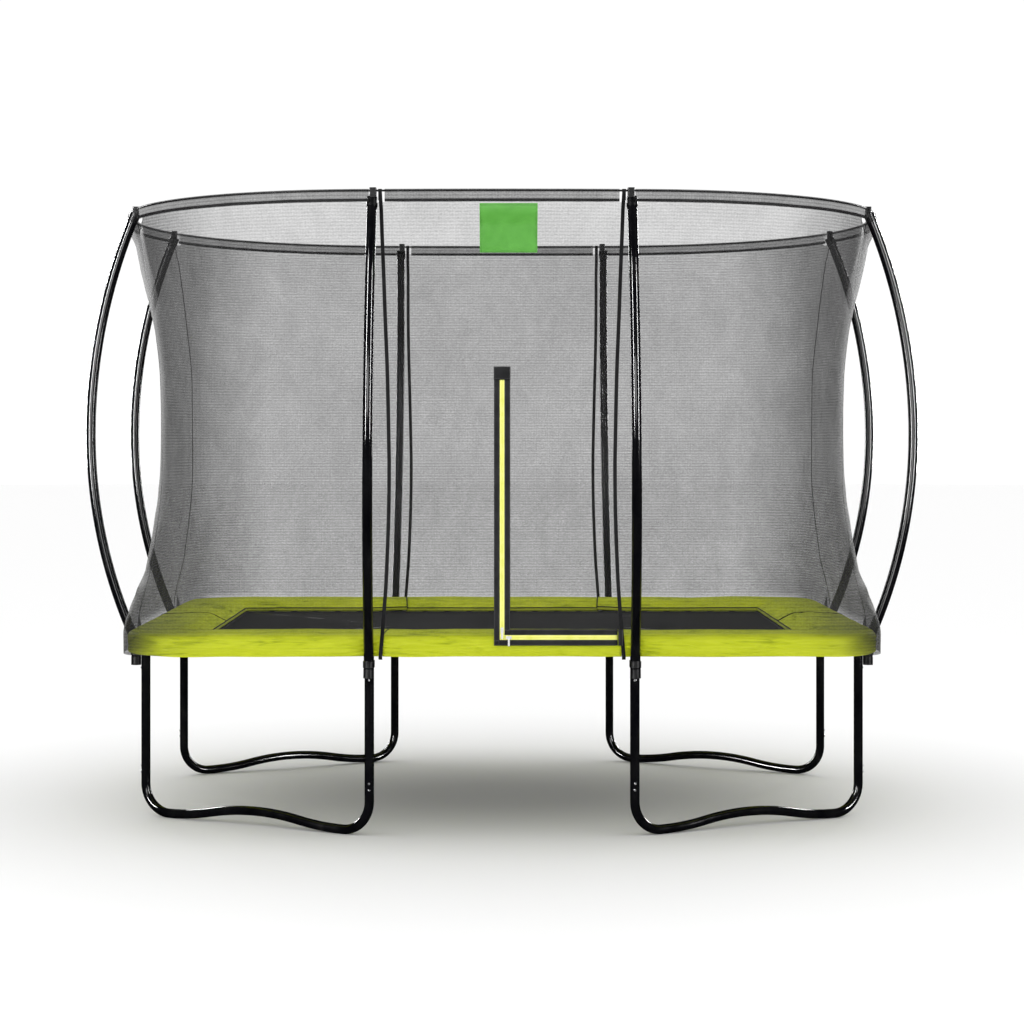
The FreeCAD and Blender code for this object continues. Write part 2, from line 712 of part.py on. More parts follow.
def seam_strap(point_at, post_key):
    """Webbing on the outer face of a panel, along its seam."""
    wires = []
    for section in NET_SECTIONS:
        first = point_at(section, 0.0, 0)
        second = point_at(section, 1.0 / SIDE_CHORDS, 0)
        along = (second - first)
        along.z = 0
        along.normalize()
        out = V(1, 0, 0) if post_key == "A" else V(0, 1, 0)
        near = first + along * STRAP_INSET + out * STRAP_LIFT
        far = near + along * STRAP_W
        loop = [near, far, far + out * STRAP_T, near + out * STRAP_T]
        wires.append(Part.makePolygon(loop + [loop[0]]))
    return Part.makeLoft(wires, True, True)


# ---- entrance

def front_y(z):
    """Depth of the front net's outer face between the door's foot and its top."""
    low, high = NET_SECTIONS[1], NET_SECTIONS[4]
    share = (z - low[0]) / (high[0] - low[0])
    return -(low[2][1] + (high[2][1] - low[2][1]) * max(share, 0.0))


def seam_x(z):
    for low, high in zip(NET_SECTIONS, NET_SECTIONS[1:]):
        if z <= high[0]:
            share = (z - low[0]) / (high[0] - low[0])
            return low[2][0] + (high[2][0] - low[2][0]) * share - SEAM_GAP
    return NET_SECTIONS[-1][2][0]


def front_plate(points, back, front):
    """Plate that follows the front net, from (x, z) points; back and front are offsets outward."""
    loop = [V(x, front_y(z) - back, z) for x, z in points]
    return Part.Face(Part.makePolygon(loop + [loop[0]])).extrude(V(0, back - front, 0))


HINGE_TOP = (ZIP_HALF + FOLD_GAP, DOOR_TOP)
HINGE_FOOT = (DOOR_RIGHT, DOOR_FOOT + ZIP_HALF + FOLD_GAP)
HINGE_SLOPE = (HINGE_FOOT[0] - HINGE_TOP[0]) / (HINGE_TOP[1] - HINGE_FOOT[1])


def hinge_x(z, gap):
    """Where the flap's fold line is at a height, moved across by a gap."""
    return HINGE_TOP[0] + (HINGE_TOP[1] - z) * HINGE_SLOPE + gap


def front_panel(clearances):
    """Front net in four solids, with the doorway left open."""
    heights = [s[0] for s in NET_SECTIONS if s[0] <= DOOR_TOP]
    low_z = DOOR_FOOT - BAND_HALF
    foot = heights[0]
    left = [(-BAND_HALF, foot), (-BAND_HALF, DOOR_TOP)]
    left += [(-seam_x(z), z) for z in reversed(heights)]
    hem = [(-BAND_HALF, foot), (seam_x(foot), foot), (seam_x(low_z), low_z), (-BAND_HALF, low_z)]
    right = [(DOOR_RIGHT, low_z), (seam_x(low_z), low_z)]
    right += [(seam_x(z), z) for z in heights[1:]]
    right += [(HINGE_TOP[0] + FLAP_GAP, DOOR_TOP), (HINGE_FOOT[0] + FLAP_GAP, HINGE_FOOT[1])]
    lower = [vertical_plate(points) for points in (left, hem, right)]
    upper_sections = [s for s in NET_SECTIONS if s[0] >= DOOR_TOP]
    upper = net_solid(long_point, 0.0, 1.0, SIDE_CHORDS, upper_sections)
    lower.append(quarter(upper, 1, -1))
    return [notched(solid, clearances) for solid in lower]


def vertical_plate(points):
    """A front net plate that may pass the door's foot, where the net turns upright."""
    kink = NET_SECTIONS[1][0]
    if all(z >= kink for _, z in points):
        return front_plate(points, -NET_T, 0)
    pieces = []
    whole = [V(x, 0, z) for x, z in points]
    outline = Part.Face(Part.makePolygon(whole + [whole[0]]))
    for z_low, z_high in ((0, kink), (kink, POLE_TOP)):
        window = Part.makePlane(4 * RAIL_X, z_high - z_low, V(-2 * RAIL_X, 0, z_low), V(0, -1, 0),
                                V(1, 0, 0))
        for face in outline.common(window).Faces:
            corners = [v.Point for v in face.OuterWire.OrderedVertexes]
            pieces.append(front_plate([(c.x, c.z) for c in corners], -NET_T, 0))
    return joined(pieces)


def zip_fixed_band():
    """Black binding on the net's side of both zips, and the two end patches."""
    low = DOOR_FOOT - BAND_HALF
    upright = [(-BAND_HALF, low), (-ZIP_HALF, low), (-ZIP_HALF, DOOR_TOP), (-BAND_HALF, DOOR_TOP)]
    level = [(-ZIP_HALF, low), (DOOR_RIGHT, low), (DOOR_RIGHT, DOOR_FOOT - ZIP_HALF),
             (-ZIP_HALF, DOOR_FOOT - ZIP_HALF)]
    band = joined([vertical_plate_thick(upright), vertical_plate_thick(level)])
    top = sloped_plate((-BAND_HALF, BAND_HALF), (DOOR_TOP + 1, DOOR_TOP + END_PATCH), 4, 0.8, 2.0)
    right = DOOR_RIGHT + END_PATCH_GAP
    far = right + END_PATCH_W
    side = [(right, low), (far, low), (far, DOOR_FOOT + BAND_HALF), (right, DOOR_FOOT + BAND_HALF)]
    return [band, top, front_plate(side, 3.0, 5.0)]


def vertical_plate_thick(points):
    kink = NET_SECTIONS[1][0]
    if all(z <= kink for _, z in points):
        return front_plate(points, -NET_T, ZIP_LIFT)
    low = [(x, min(z, kink)) for x, z in points]
    high = [(x, max(z, kink)) for x, z in points]
    return joined([front_plate(low, -NET_T, ZIP_LIFT), front_plate(high, -NET_T, ZIP_LIFT)])


def zip_strip():
    """Bright zip strip, upright and level legs in one piece."""
    foot = DOOR_FOOT - ZIP_HALF
    upright = [(-ZIP_HALF, foot), (ZIP_HALF, foot), (ZIP_HALF, DOOR_TOP), (-ZIP_HALF, DOOR_TOP)]
    end = DOOR_RIGHT - STRIP_END_GAP
    level = [(ZIP_HALF, foot), (end, foot), (end, DOOR_FOOT + ZIP_HALF), (ZIP_HALF, DOOR_FOOT + ZIP_HALF)]
    return joined([vertical_plate_thick(upright), vertical_plate_thick(level)])


def flap_band():
    """Black binding along the flap's two free edges."""
    x0 = HINGE_TOP[0]
    z0 = HINGE_FOOT[1]
    x1 = BAND_HALF
    z1 = DOOR_FOOT + BAND_HALF
    top = DOOR_TOP - BAND_TOP_GAP
    upright = [(x0, z1), (x1, z1), (x1, HINGE_TOP[1] - (x1 - x0 + BAND_END_GAP) / HINGE_SLOPE),
               (hinge_x(top, -BAND_END_GAP), top), (x0, top)]
    level = [(x0, z0), (hinge_x(z0, -BAND_END_GAP), z0), (hinge_x(z1, -BAND_END_GAP), z1), (x0, z1)]
    return joined([front_plate(upright, -NET_T, ZIP_LIFT), front_plate(level, -NET_T, ZIP_LIFT)])


def flap_net():
    x1 = BAND_HALF
    z1 = DOOR_FOOT + BAND_HALF
    top = HINGE_TOP[1] - (x1 - HINGE_TOP[0] + FLAP_GAP) / HINGE_SLOPE
    return front_plate([(x1, z1), (hinge_x(z1, -FLAP_GAP), z1), (x1, top)], -NET_T, 0)


def slider(x, z, wide, tall):
    """Zip slider with two ears and the pin that its pull hangs on."""
    y = front_y(z) - SLIDER_LIFT
    body = box((x - wide / 2, y - SLIDER_T, z - tall / 2), (x + wide / 2, y, z + tall / 2))
    outward = [e for e in body.Edges if abs(e.tangentAt(e.FirstParameter).y) > 0.9]
    body = body.makeFillet(SLIDER_ROUND, outward)
    pieces = [body]
    for side in (-1, 1):
        ear_x = x + side * EAR_OUT
        pieces.append(box((ear_x - EAR_T / 2, y - SLIDER_T - EAR_LONG, z - EAR_HALF),
                          (ear_x + EAR_T / 2, y - SLIDER_T + 1, z + EAR_HALF)))
    pieces.append(cylinder(PIN_R, V(x - EAR_OUT, y - SLIDER_T - PIN_OUT, z), V(1, 0, 0), 2 * EAR_OUT))
    return joined(pieces)


def pull(x, z):
    """Pull tab that hangs from a slider's pin."""
    y = front_y(z) - SLIDER_LIFT - SLIDER_T - PIN_OUT
    eye = cylinder(EYE_R, V(x - PULL_W / 2, y, z), V(1, 0, 0), PULL_W)
    blade = box((x - PULL_W / 2, y - PULL_T / 2, z - PULL_L), (x + PULL_W / 2, y + PULL_T / 2, z - 1))
    shape = joined([eye, blade])
    shape = shape.cut(cylinder(PIN_R + PIN_CLEAR, V(x - PULL_W, y, z), V(1, 0, 0), 2 * PULL_W))
    return shape.Solids[0]


def sloped_plate(xs, zs, index, lift, thick):
    """Flat plate in front of the leaning upper net, between the section with this index and the next."""
    low, high = NET_SECTIONS[index], NET_SECTIONS[index + 1]

    def depth(z):
        share = (z - low[0]) / (high[0] - low[0])
        return -(low[2][1] + (high[2][1] - low[2][1]) * share) - LONG_BOW * high[3] - lift

    corners = [(xs[0], zs[0]), (xs[1], zs[0]), (xs[1], zs[1]), (xs[0], zs[1])]
    loop = [V(x, depth(z), z) for x, z in corners]
    return Part.Face(Part.makePolygon(loop + [loop[0]])).extrude(V(0, -thick, 0))


def net_patch():
    """Plain sewn patch on the front net, just under the ring sleeve."""
    return sloped_plate(PATCH_X, PATCH_Z, 5, 0.5, 1.6)


# ---- pads

def pad_ring(clearances):
    """The whole pad with its skirt, before it is divided."""
    outer_r = CORNER_R + PAD_OUT_X - RAIL_X
    slab = rounded_plate(PAD_OUT_X, PAD_OUT_Y, outer_r, PAD_UNDER, PAD_TOP)
    top_edges = [e for e in slab.Edges if e.BoundBox.ZMin > PAD_TOP - 0.01]
    slab = slab.makeFillet(PAD_ROUND, top_edges)
    slab = slab.cut(rounded_plate(PAD_IN_X, PAD_IN_Y, PAD_INNER_ROUND, PAD_UNDER - 5, PAD_TOP + 5))
    skirt = rounded_plate(PAD_OUT_X, PAD_OUT_Y, outer_r, SKIRT_FOOT, PAD_UNDER + 2)
    inside = rounded_plate(PAD_OUT_X - SKIRT_T, PAD_OUT_Y - SKIRT_T, outer_r - SKIRT_T, SKIRT_FOOT - 5,
                           PAD_UNDER + 5)
    return notched(slab.fuse(skirt.cut(inside)), clearances).removeSplitter()


def pad_piece(ring, low, high):
    """The part of the pad between two corners given by (x, y)."""
    return ring.common(box((*low, SKIRT_FOOT - BEYOND), (*high, PAD_TOP + BEYOND))).Solids[0]


def main():
    for side_x, side_y, end, hand in quarters():
        save(f"base_{end}_{hand}", [quarter(base(), side_x, side_y)])
        save(f"leg_{hand}_{end}", [quarter(leg(POSTS["A"]), side_x, side_y)])
        save(f"leg_{end}_{hand}", [quarter(leg(POSTS["B"]), side_x, side_y)])

    rows = spring_lines()
    holes = [quarter(hook_hole(row), sx, sy) for row in rows for sx, sy, _, _ in quarters()]
    for sign, end in ((-1, "front"), (1, "back")):
        rail = rail_straight(POST_X - BUTT_GAP, V(0, sign * RAIL_Y, RAIL_Z), V(1, 0, 0))
        save(f"rail_{end}", [notched(rail, holes)])
    for sign, hand in ((-1, "left"), (1, "right")):
        rail = rail_straight(POST_Y - BUTT_GAP, V(sign * RAIL_X, 0, RAIL_Z), V(0, 1, 0))
        save(f"rail_{hand}", [notched(rail, holes)])
    bent = notched(corner_rail(), [hook_hole(row) for row in rows])
    for side_x, side_y, end, hand in quarters():
        save(f"corner_rail_{end}_{hand}", [quarter(bent, side_x, side_y)])

    signs = [(sx, sy) for sx, sy, _, _ in quarters()]
    sockets = [socket(post) for post in POSTS.values()]
    save("frame_sockets", [quarter(s, sx, sy) for s in sockets for sx, sy in signs])
    screws = [screw(p, post["out"]) for post in POSTS.values() for p in screw_places(post)]
    screws += [screw(p, out) for post in POSTS.values() for p, out in bracket_screw_places(post)]
    save("frame_bolts", [quarter(s, sx, sy) for s in screws for sx, sy in signs])
    brackets = [pole_bracket(post) for post in POSTS.values()]
    save("pole_brackets", [quarter(s, sx, sy) for s in brackets for sx, sy in signs])
    foot_caps = [foot_cap(POSTS["A"], 0.0), foot_cap(POSTS["B"], -LONG_SIDE_LEAN_IN)]
    save("pole_foot_caps", [quarter(s, sx, sy) for s in foot_caps for sx, sy in signs])

    short = pole(POSTS["A"], 0.0, 0.0)
    long = pole(POSTS["B"], LONG_SIDE_LEAN, -LONG_SIDE_LEAN_IN)
    for sign, hand in ((-1, "left"), (1, "right")):
        for part, label in ((0, "lower"), (1, "upper")):
            save(f"poles_{label}_{hand}", [quarter(short[part], sign, sy) for sy in (-1, 1)])
    for sign, end in ((-1, "front"), (1, "back")):
        for part, label in ((0, "lower"), (1, "upper")):
            save(f"poles_{label}_{end}", [quarter(long[part], sx, sign) for sx in (-1, 1)])
    arcs = ring_arcs()
    caps = []
    for key, built in (("A", short), ("B", long)):
        ring_point = V(*(RING_A if key == "A" else RING_B), ROD_Z)
        cap = top_cap(POSTS[key], built[2], built[3], ring_point)
        centre, radius, start, end_angle = arcs["corner"]
        angle = start if key == "A" else end_angle
        along = V(-math.sin(angle), math.cos(angle), 0)
        bore = cylinder(ROD_R + 0.8, ring_point - along * BEYOND, along, 2 * BEYOND)
        caps.append(cap.cut(bore))
    save("pole_top_caps", [quarter(s, sx, sy) for s in caps for sx, sy in signs])
    save("ring_rods", all_ring_pieces(rod_face, ROD_GAP))
    save("net_sleeve", all_ring_pieces(sleeve_face, SLEEVE_GAP))

    clearances = pole_clearances()
    full_clearances = [quarter(b, sx, sy) for b in clearances for sx, sy in signs]
    save("net_front", front_panel(full_clearances))
    back = notched(net_solid(long_point, 0.0, 1.0, SIDE_CHORDS, NET_SECTIONS), full_clearances)
    side = notched(net_solid(side_point, 0.0, 1.0, SIDE_CHORDS, NET_SECTIONS), full_clearances)
    save("net_back", [back])
    save("net_left", [quarter(side, -1, 1)])
    save("net_right", [side])
    gores = net_corner_panel(clearances)
    save("net_corners", [quarter(g, sx, sy) for g in gores for sx, sy in signs])
    strap_a = seam_strap(side_point, "A")
    strap_b = quarter(seam_strap(long_point, "B"), -1, 1)
    save("net_straps", [quarter(s, sx, sy) for s in (strap_a, strap_b) for sx, sy in signs])
    save("net_patch", [net_patch()])

    save("zip_band", zip_fixed_band())
    save("zip_strip", [zip_strip()])
    save("door_band", [flap_band()])
    save("door_flap", [flap_net()])
    save("slider_up", [slider(0.0, DOOR_FOOT + SLIDER_UP, SLIDER_W, SLIDER_L)])
    save("pull_up", [pull(0.0, DOOR_FOOT + SLIDER_UP)])
    save("slider_across", [slider(SLIDER_ACROSS, DOOR_FOOT, SLIDER_L, SLIDER_W)])
    save("pull_across", [pull(SLIDER_ACROSS, DOOR_FOOT)])

    ring = pad_ring(full_clearances)
    split = PAD_SPLIT_X
    reach = PAD_OUT_X + BEYOND
    save("pad_front", [pad_piece(ring, (-split, -reach), (split, 0))])
    save("pad_back", [pad_piece(ring, (-split, 0), (split, reach))])
    piece = pad_piece(ring, (split + PAD_GAP, PAD_GAP / 2), (reach, reach))
    for side_x, side_y, end, hand in quarters():
        save(f"pad_{end}_{hand}", [quarter(piece, side_x, side_y)])

    mat = rounded_plate(MAT_X, MAT_Y, MAT_CORNER_R, MAT_Z - MAT_T / 2, MAT_Z + MAT_T / 2)
    hem_z = MAT_Z - MAT_T / 2
    hem = rounded_plate(MAT_X, MAT_Y, MAT_CORNER_R, hem_z - HEM_T, hem_z)
    hem = hem.cut(rounded_plate(MAT_X - HEM_W, MAT_Y - HEM_W, HEM_CORNER_R, hem_z - HEM_T - 5, hem_z + 5))
    save("jump_mat", [mat])
    save("mat_hem", [hem])
    springs, rings = [], []
    for row in rows:
        on_axis = row[0] == "short" and abs(row[1].y) < 0.01
        places = [(-1, 1), (1, 1)] if on_axis else signs
        springs += [quarter(spring(row), sx, sy) for sx, sy in places]
        rings += [quarter(mat_ring(row), sx, sy) for sx, sy in places]
    save("springs", springs)
    save("mat_rings", rings)


main()
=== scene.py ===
"""Rectangular garden trampoline: cloth, webbing, pads and wire built round its CAD frame."""
import math

import bmesh
import bpy
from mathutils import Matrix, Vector, noise


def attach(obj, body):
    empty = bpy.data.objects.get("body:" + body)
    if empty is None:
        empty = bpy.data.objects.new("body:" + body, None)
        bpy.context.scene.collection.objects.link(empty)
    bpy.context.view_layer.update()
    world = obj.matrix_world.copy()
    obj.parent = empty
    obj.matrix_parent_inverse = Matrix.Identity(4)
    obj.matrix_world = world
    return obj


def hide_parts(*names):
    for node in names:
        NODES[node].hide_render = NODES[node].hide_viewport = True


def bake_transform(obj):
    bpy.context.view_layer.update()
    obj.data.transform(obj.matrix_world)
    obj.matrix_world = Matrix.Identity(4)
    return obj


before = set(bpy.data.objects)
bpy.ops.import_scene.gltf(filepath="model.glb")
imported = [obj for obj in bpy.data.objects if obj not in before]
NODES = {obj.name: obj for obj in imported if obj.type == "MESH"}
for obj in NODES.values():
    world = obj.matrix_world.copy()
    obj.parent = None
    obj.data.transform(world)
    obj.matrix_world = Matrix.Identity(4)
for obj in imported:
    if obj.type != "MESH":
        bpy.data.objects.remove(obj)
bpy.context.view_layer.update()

# Net sections: height, seam A (x, y), seam B (x, y), side bow, power of the corner's superellipse
NET_SECTIONS = (
    (0.715, 1.543, 0.528, 0.494, 1.089, 0.0, 9.0),
    (0.800, 1.543, 0.524, 0.487, 1.089, 0.0, 9.0),
    (1.056, 1.490, 0.505, 0.470, 1.0823, 0.010, 3.5),
    (1.450, 1.449, 0.475, 0.460, 1.072, 0.020, 2.5),
    (1.830, 1.455, 0.470, 0.459, 1.062, 0.030, 2.2),
    (2.150, 1.490, 0.485, 0.463, 1.112, 0.055, 2.0),
    (2.519, 1.542, 0.508, 0.462, 1.260, 0.096, 1.75),
)
NET_TOP = 2.522
NET_FOOT = 0.7235
RING_END = (1.650, 1.280)
RING_A = (1.550, 0.550)
RING_B = (0.505, 1.268)
ROD_Z = 2.563
SLEEVE_GAP = 0.046           # bare rod beside a pole, where the webbing loops round it
SLEEVE_NEAR = 0.016
SLEEVE_HALF_WIDTHS = (0.0022, 0.0034, 0.0052, 0.0064, 0.0050)
SLEEVE_LEVELS = (2.5190, 2.5330, 2.5460, 2.5575, 2.5665)
SLEEVE_TOP = 2.5698
STRAP_W = 0.015
STRAP_T = 0.0016
STRAP_LIFT = 0.0020
LOOP_IN = 0.031              # from the pole's axis to a strap's loop on the rod
POLE_A_Y = 0.560
POLE_B_X = 0.532
NET_DENT, PAD_DENT = 0.019, 0.008     # how deep a pole's foot presses into the cloth
RISE = 2.43                  # where the net starts to close on the ring
DOOR_FOOT, DOOR_TOP, DOOR_RIGHT = 0.800, 1.830, 0.461
ZIP_HALF, BAND_HALF = 0.0095, 0.0325
FOLD_TOP = (0.010, 1.830)
FOLD_FOOT = (0.461, 0.810)
FOLD_ACROSS = (0.9147, 0.4044)        # level and upright parts of the direction across the fold
BAND_T, TAPE_T, END_PATCH_T = 0.0014, 0.0012, 0.0018
CLOTH_LIFT = 0.0003
STITCH_LIFT = 0.0017
END_PATCH_TOP = 0.052
TOOTH_PITCH, TOOTH_HALF, TOOTH_HALF_W, TOOTH_OUT = 0.0026, 0.0026, 0.0008, 0.0009
PATCH_X, PATCH_Z = (-0.088, 0.139), (2.328, 2.513)
PATCH_FLAT = (0.227, 0.185)
PAD_OUT, PAD_IN = (1.533, 1.078), (1.233, 0.773)
PAD_OUT_R, PAD_IN_R = 0.258, 0.012
PAD_SPLIT = 0.479
MAT = (1.260, 0.800)
MAT_Z = 0.7562
MAT_HEM_W, MAT_HEM_T = 0.038, 0.0012
LONG_PITCH, LONG_COUNT = 0.106, 11
SHORT_PITCH, SHORT_COUNT = 0.102, 8
RING_REACH = 0.0354          # from the mat's edge to a ring's tip
SPRING_BODY = 0.150
COIL_R, COIL_TURNS, COIL_STEPS = 0.0090, 27, 9
SPRING_WIRE_R, RING_WIRE_R = 0.0018, 0.0020
TAB_W = 0.027
MAT_CORNER_R = 0.040
RAIL_FACE = (1.487, 1.032)
RAIL_BEND, RAIL_BEND_R = (1.275, 0.820), 0.212
RAIL_Z = 0.760
SIGNS = ((-1, -1), (1, -1), (-1, 1), (1, 1))
FLOOR_R, FLOOR_SIDES = 70.0, 64
CAMERA_AT, CAMERA_SHIFT, LENS = (0, -9.918, 1.590), (0.0097, -0.0708), 77.8
RIGHT, BACK, UP = Vector((1, 0, 0)), Vector((0, 1, 0)), Vector((0, 0, 1))
TO_FRONT = Vector((0, -1, 0))


def corner_name(sx, sy):
    return ("front" if sy < 0 else "back") + ("_left" if sx < 0 else "_right")


def add_object(name, data):
    obj = bpy.data.objects.new(name, data)
    bpy.context.scene.collection.objects.link(obj)
    return obj


def smooth(t):
    t = min(max(t, 0.0), 1.0)
    return t * t * (3 - 2 * t)


def plateau(distance, flat, fall):
    """1 up to flat, then a smooth fall to 0."""
    return 1 - smooth((distance - flat) / fall)


# ---- materials

def srgb(r, g, b):
    """Linear colour from 0-255 display values."""
    def one(v):
        v /= 255
        return v / 12.92 if v <= 0.04045 else ((v + 0.055) / 1.055) ** 2.4
    return (one(r), one(g), one(b), 1.0)


class Finish:
    """A Principled material with helpers for its procedural detail."""

    def __init__(self, name, colour, roughness, **sockets):
        self.mat = bpy.data.materials.new(name)
        self.mat.use_nodes = True
        self.tree = self.mat.node_tree
        self.shader = self.tree.nodes["Principled BSDF"]
        self.coords = self.tree.nodes.new("ShaderNodeTexCoord").outputs["Object"]
        self.shader.inputs["Base Color"].default_value = colour
        self.shader.inputs["Roughness"].default_value = roughness
        for key, value in sockets.items():
            self.shader.inputs[key.replace("_", " ")].default_value = value

    def put(self, socket, value):
        """Link a node's output to a socket, or set the socket to a number, vector or colour."""
        if isinstance(value, bpy.types.NodeSocket):
            self.tree.links.new(value, socket)
        else:
            socket.default_value = value

    def node(self, kind, **inputs):
        node = self.tree.nodes.new("ShaderNode" + kind)
        for key, value in inputs.items():
            self.put(node.inputs[key.replace("_", " ")], value)
        return node

    def mapped(self, scale):
        return self.node("Mapping", Vector=self.coords, Scale=scale).outputs["Vector"]

    def noise(self, scale, detail=3.0, rough=0.5, warp=0.0):
        """Noise with one scale, or one for each axis."""
        where = self.mapped(scale if isinstance(scale, tuple) else (scale,) * 3)
        return self.node("TexNoise", Vector=where, Scale=1.0, Detail=detail, Roughness=rough,
                         Distortion=warp).outputs["Fac"]

    def bands(self, direction, period, warp=0.0):
        node = self.node("TexWave", Vector=self.coords, Scale=0.314 / period, Distortion=warp)
        node.bands_direction = direction
        return node.outputs["Fac"]

    def math(self, operation, a, b):
        node = self.node("Math")
        node.operation = operation
        self.put(node.inputs[0], a)
        self.put(node.inputs[1], b)
        return node.outputs["Value"]

    def ranged(self, value, low, high, from_low=0.3, from_high=0.7):
        return self.node("MapRange", Value=value, From_Min=from_low, From_Max=from_high, To_Min=low,
                         To_Max=high).outputs["Result"]

    def colours(self, value, *stops):
        node = self.node("ValToRGB", Fac=value)
        while len(node.color_ramp.elements) < len(stops):
            node.color_ramp.elements.new(0.5)
        for element, (place, colour) in zip(node.color_ramp.elements, stops):
            element.position, element.color = place, colour
        return node.outputs["Color"]

    def drive(self, socket, value):
        self.tree.links.new(value, self.shader.inputs[socket])

    def tones(self, value, dark, light, rough_low, rough_high, at=(0.3, 0.7)):
        """Colour and roughness that follow one pattern."""
        self.drive("Base Color", self.colours(value, (at[0], dark), (at[1], light)))
        self.drive("Roughness", self.ranged(value, rough_low, rough_high))

    def bump(self, *layers):
        """layers are (height, strength, distance in metres), stacked."""
        below = None
        for height, strength, distance in layers:
            node = self.node("Bump", Strength=strength, Distance=distance, Height=height)
            if below is not None:
                self.tree.links.new(below, node.inputs["Normal"])
            below = node.outputs["Normal"]
        self.drive("Normal", below)


def grey(value, blue=0.001):
    """A near-black or grey linear colour, with a little blue in it."""
    return (value, value, value + blue, 1)


def tube_finish():
    f = Finish("frame_black_gloss", grey(0.003), 0.1, Specular_IOR_Level=0.5)
    scuff = f.noise((14, 14, 5), 6, 0.65)
    f.drive("Base Color", f.colours(scuff, (0.35, grey(0.002)), (0.62, grey(0.005)),
                                    (0.78, (0.022, 0.021, 0.020, 1))))
    f.drive("Roughness", f.ranged(scuff, 0.05, 0.16))
    f.bump((f.noise(700, 2), 0.06, 0.0004), (f.noise(25, 2), 0.05, 0.001))
    return f.mat


def metal_finish(name, dark, light, roughness):
    f = Finish(name, light, roughness, Metallic=1.0)
    grain = f.noise(90, 5, 0.6)
    f.tones(grain, dark, light, roughness - 0.08, roughness + 0.14)
    f.bump((f.noise(400, 3), 0.15, 0.0003))
    return f.mat


def plastic_finish(name, dark, light, roughness):
    f = Finish(name, light, roughness, Specular_IOR_Level=0.3)
    wear = f.noise(30, 5, 0.6)
    f.tones(wear, dark, light, roughness - 0.07, roughness + 0.1, (0.35, 0.72))
    f.bump((f.noise(1100, 2), 0.18, 0.0003))
    return f.mat


def net_finish(name, low, high, side_extra=0.0):
    """Knitted mesh: most light passes between its threads, and less near the short sides."""
    f = Finish(name, grey(0.010), 0.7, Sheen_Weight=0.04, Sheen_Roughness=0.4, Specular_IOR_Level=0.2)
    threads = f.noise((110, 110, 430), 2, 0.6)
    upright = f.noise((330, 330, 60), 2, 0.5)
    cloud = f.noise((2.2, 2.2, 3.0), 4, 0.55)
    crease = f.noise((9, 9, 5), 2, 0.4, 1.2)
    courses = f.math("ADD", f.math("MULTIPLY", f.bands("Z", 0.0125, 1.2), 0.10),
                     f.math("MULTIPLY", f.bands("X", 0.0110, 1.0), 0.03))
    weave = f.math("ADD", f.math("ADD", f.ranged(threads, low, high), f.ranged(upright, -0.04, 0.04)),
                   f.math("SUBTRACT", courses, 0.055))
    patchy = f.math("ADD", f.ranged(cloud, -0.035, 0.035), f.ranged(crease, -0.02, 0.03))
    total = f.math("ADD", weave, patchy)
    place = f.node("SeparateXYZ", Vector=f.coords).outputs
    sideways = f.math("ABSOLUTE", place["X"], 0.0)
    over_pads = f.ranged(place["Z"], 0.35, 1.0, 0.79, 0.83)
    if side_extra:
        total = f.math("ADD", total, f.ranged(sideways, 0.0, side_extra, 1.15, 1.48))
        over_pads = f.math("MAXIMUM", over_pads, f.ranged(sideways, 0.35, 1.0, 1.36, 1.5))
    f.drive("Alpha", f.math("MULTIPLY", total, over_pads))
    f.drive("Base Color", f.colours(cloud, (0.3, grey(0.006)), (0.7, grey(0.020))))
    f.bump((f.bands("Z", 0.0022), 0.25, 0.0006), (crease, 0.4, 0.004))
    return f.mat


def webbing_finish(name, dark, light, period):
    f = Finish(name, light, 0.75, Sheen_Weight=0.05, Sheen_Roughness=0.5, Specular_IOR_Level=0.12)
    ribs = f.math("MULTIPLY", f.bands("Z", period), f.bands("X", period * 1.4))
    fade = f.noise(16, 5, 0.6)
    f.tones(fade, dark, light, 0.62, 0.82, (0.3, 0.72))
    f.bump((ribs, 0.5, 0.0006), (f.noise(240, 3), 0.2, 0.0004))
    return f.mat


def pad_finish():
    f = Finish("pad_lime_cover", srgb(206, 218, 28), 0.6, Specular_IOR_Level=0.14)
    patchy = f.noise((3.5, 3.5, 9), 5, 0.6, 0.6)
    crease = f.noise((6, 6, 62), 4, 0.6, 1.2)
    grime = f.noise(26, 6, 0.65)
    # painted shade in the creases: the colour follows the crease pattern that also makes the bump, darkest
    # in its hollows, mixed with random patchy tone
    tone = f.math("ADD", f.math("MULTIPLY", patchy, 0.4), f.math("MULTIPLY", crease, 0.6))
    f.drive("Base Color", f.colours(tone, (0.36, srgb(160, 174, 14)), (0.47, srgb(206, 218, 28)),
                                    (0.66, srgb(220, 230, 48))))
    f.drive("Roughness", f.ranged(grime, 0.5, 0.72))
    weave = f.math("MULTIPLY", f.bands("X", 0.0016), f.bands("Y", 0.0016))
    f.bump((crease, 0.6, 0.005), (grime, 0.12, 0.001), (weave, 0.15, 0.0004))
    return f.mat


def mat_finish():
    f = Finish("mat_black_weave", grey(0.022, 0.002), 0.75, Specular_IOR_Level=0.08)
    worn = f.noise(2.4, 5, 0.6, 0.8)
    dust = f.noise(60, 5, 0.6)
    tone = f.math("ADD", f.math("MULTIPLY", worn, 0.7), f.math("MULTIPLY", dust, 0.3))
    f.tones(tone, grey(0.014, 0.002), grey(0.040, 0.003), 0.66, 0.86, (0.34, 0.66))
    weave = f.math("MULTIPLY", f.bands("X", 0.0030), f.bands("Y", 0.0030))
    f.bump((weave, 0.6, 0.0008), (worn, 0.2, 0.004))
    return f.mat


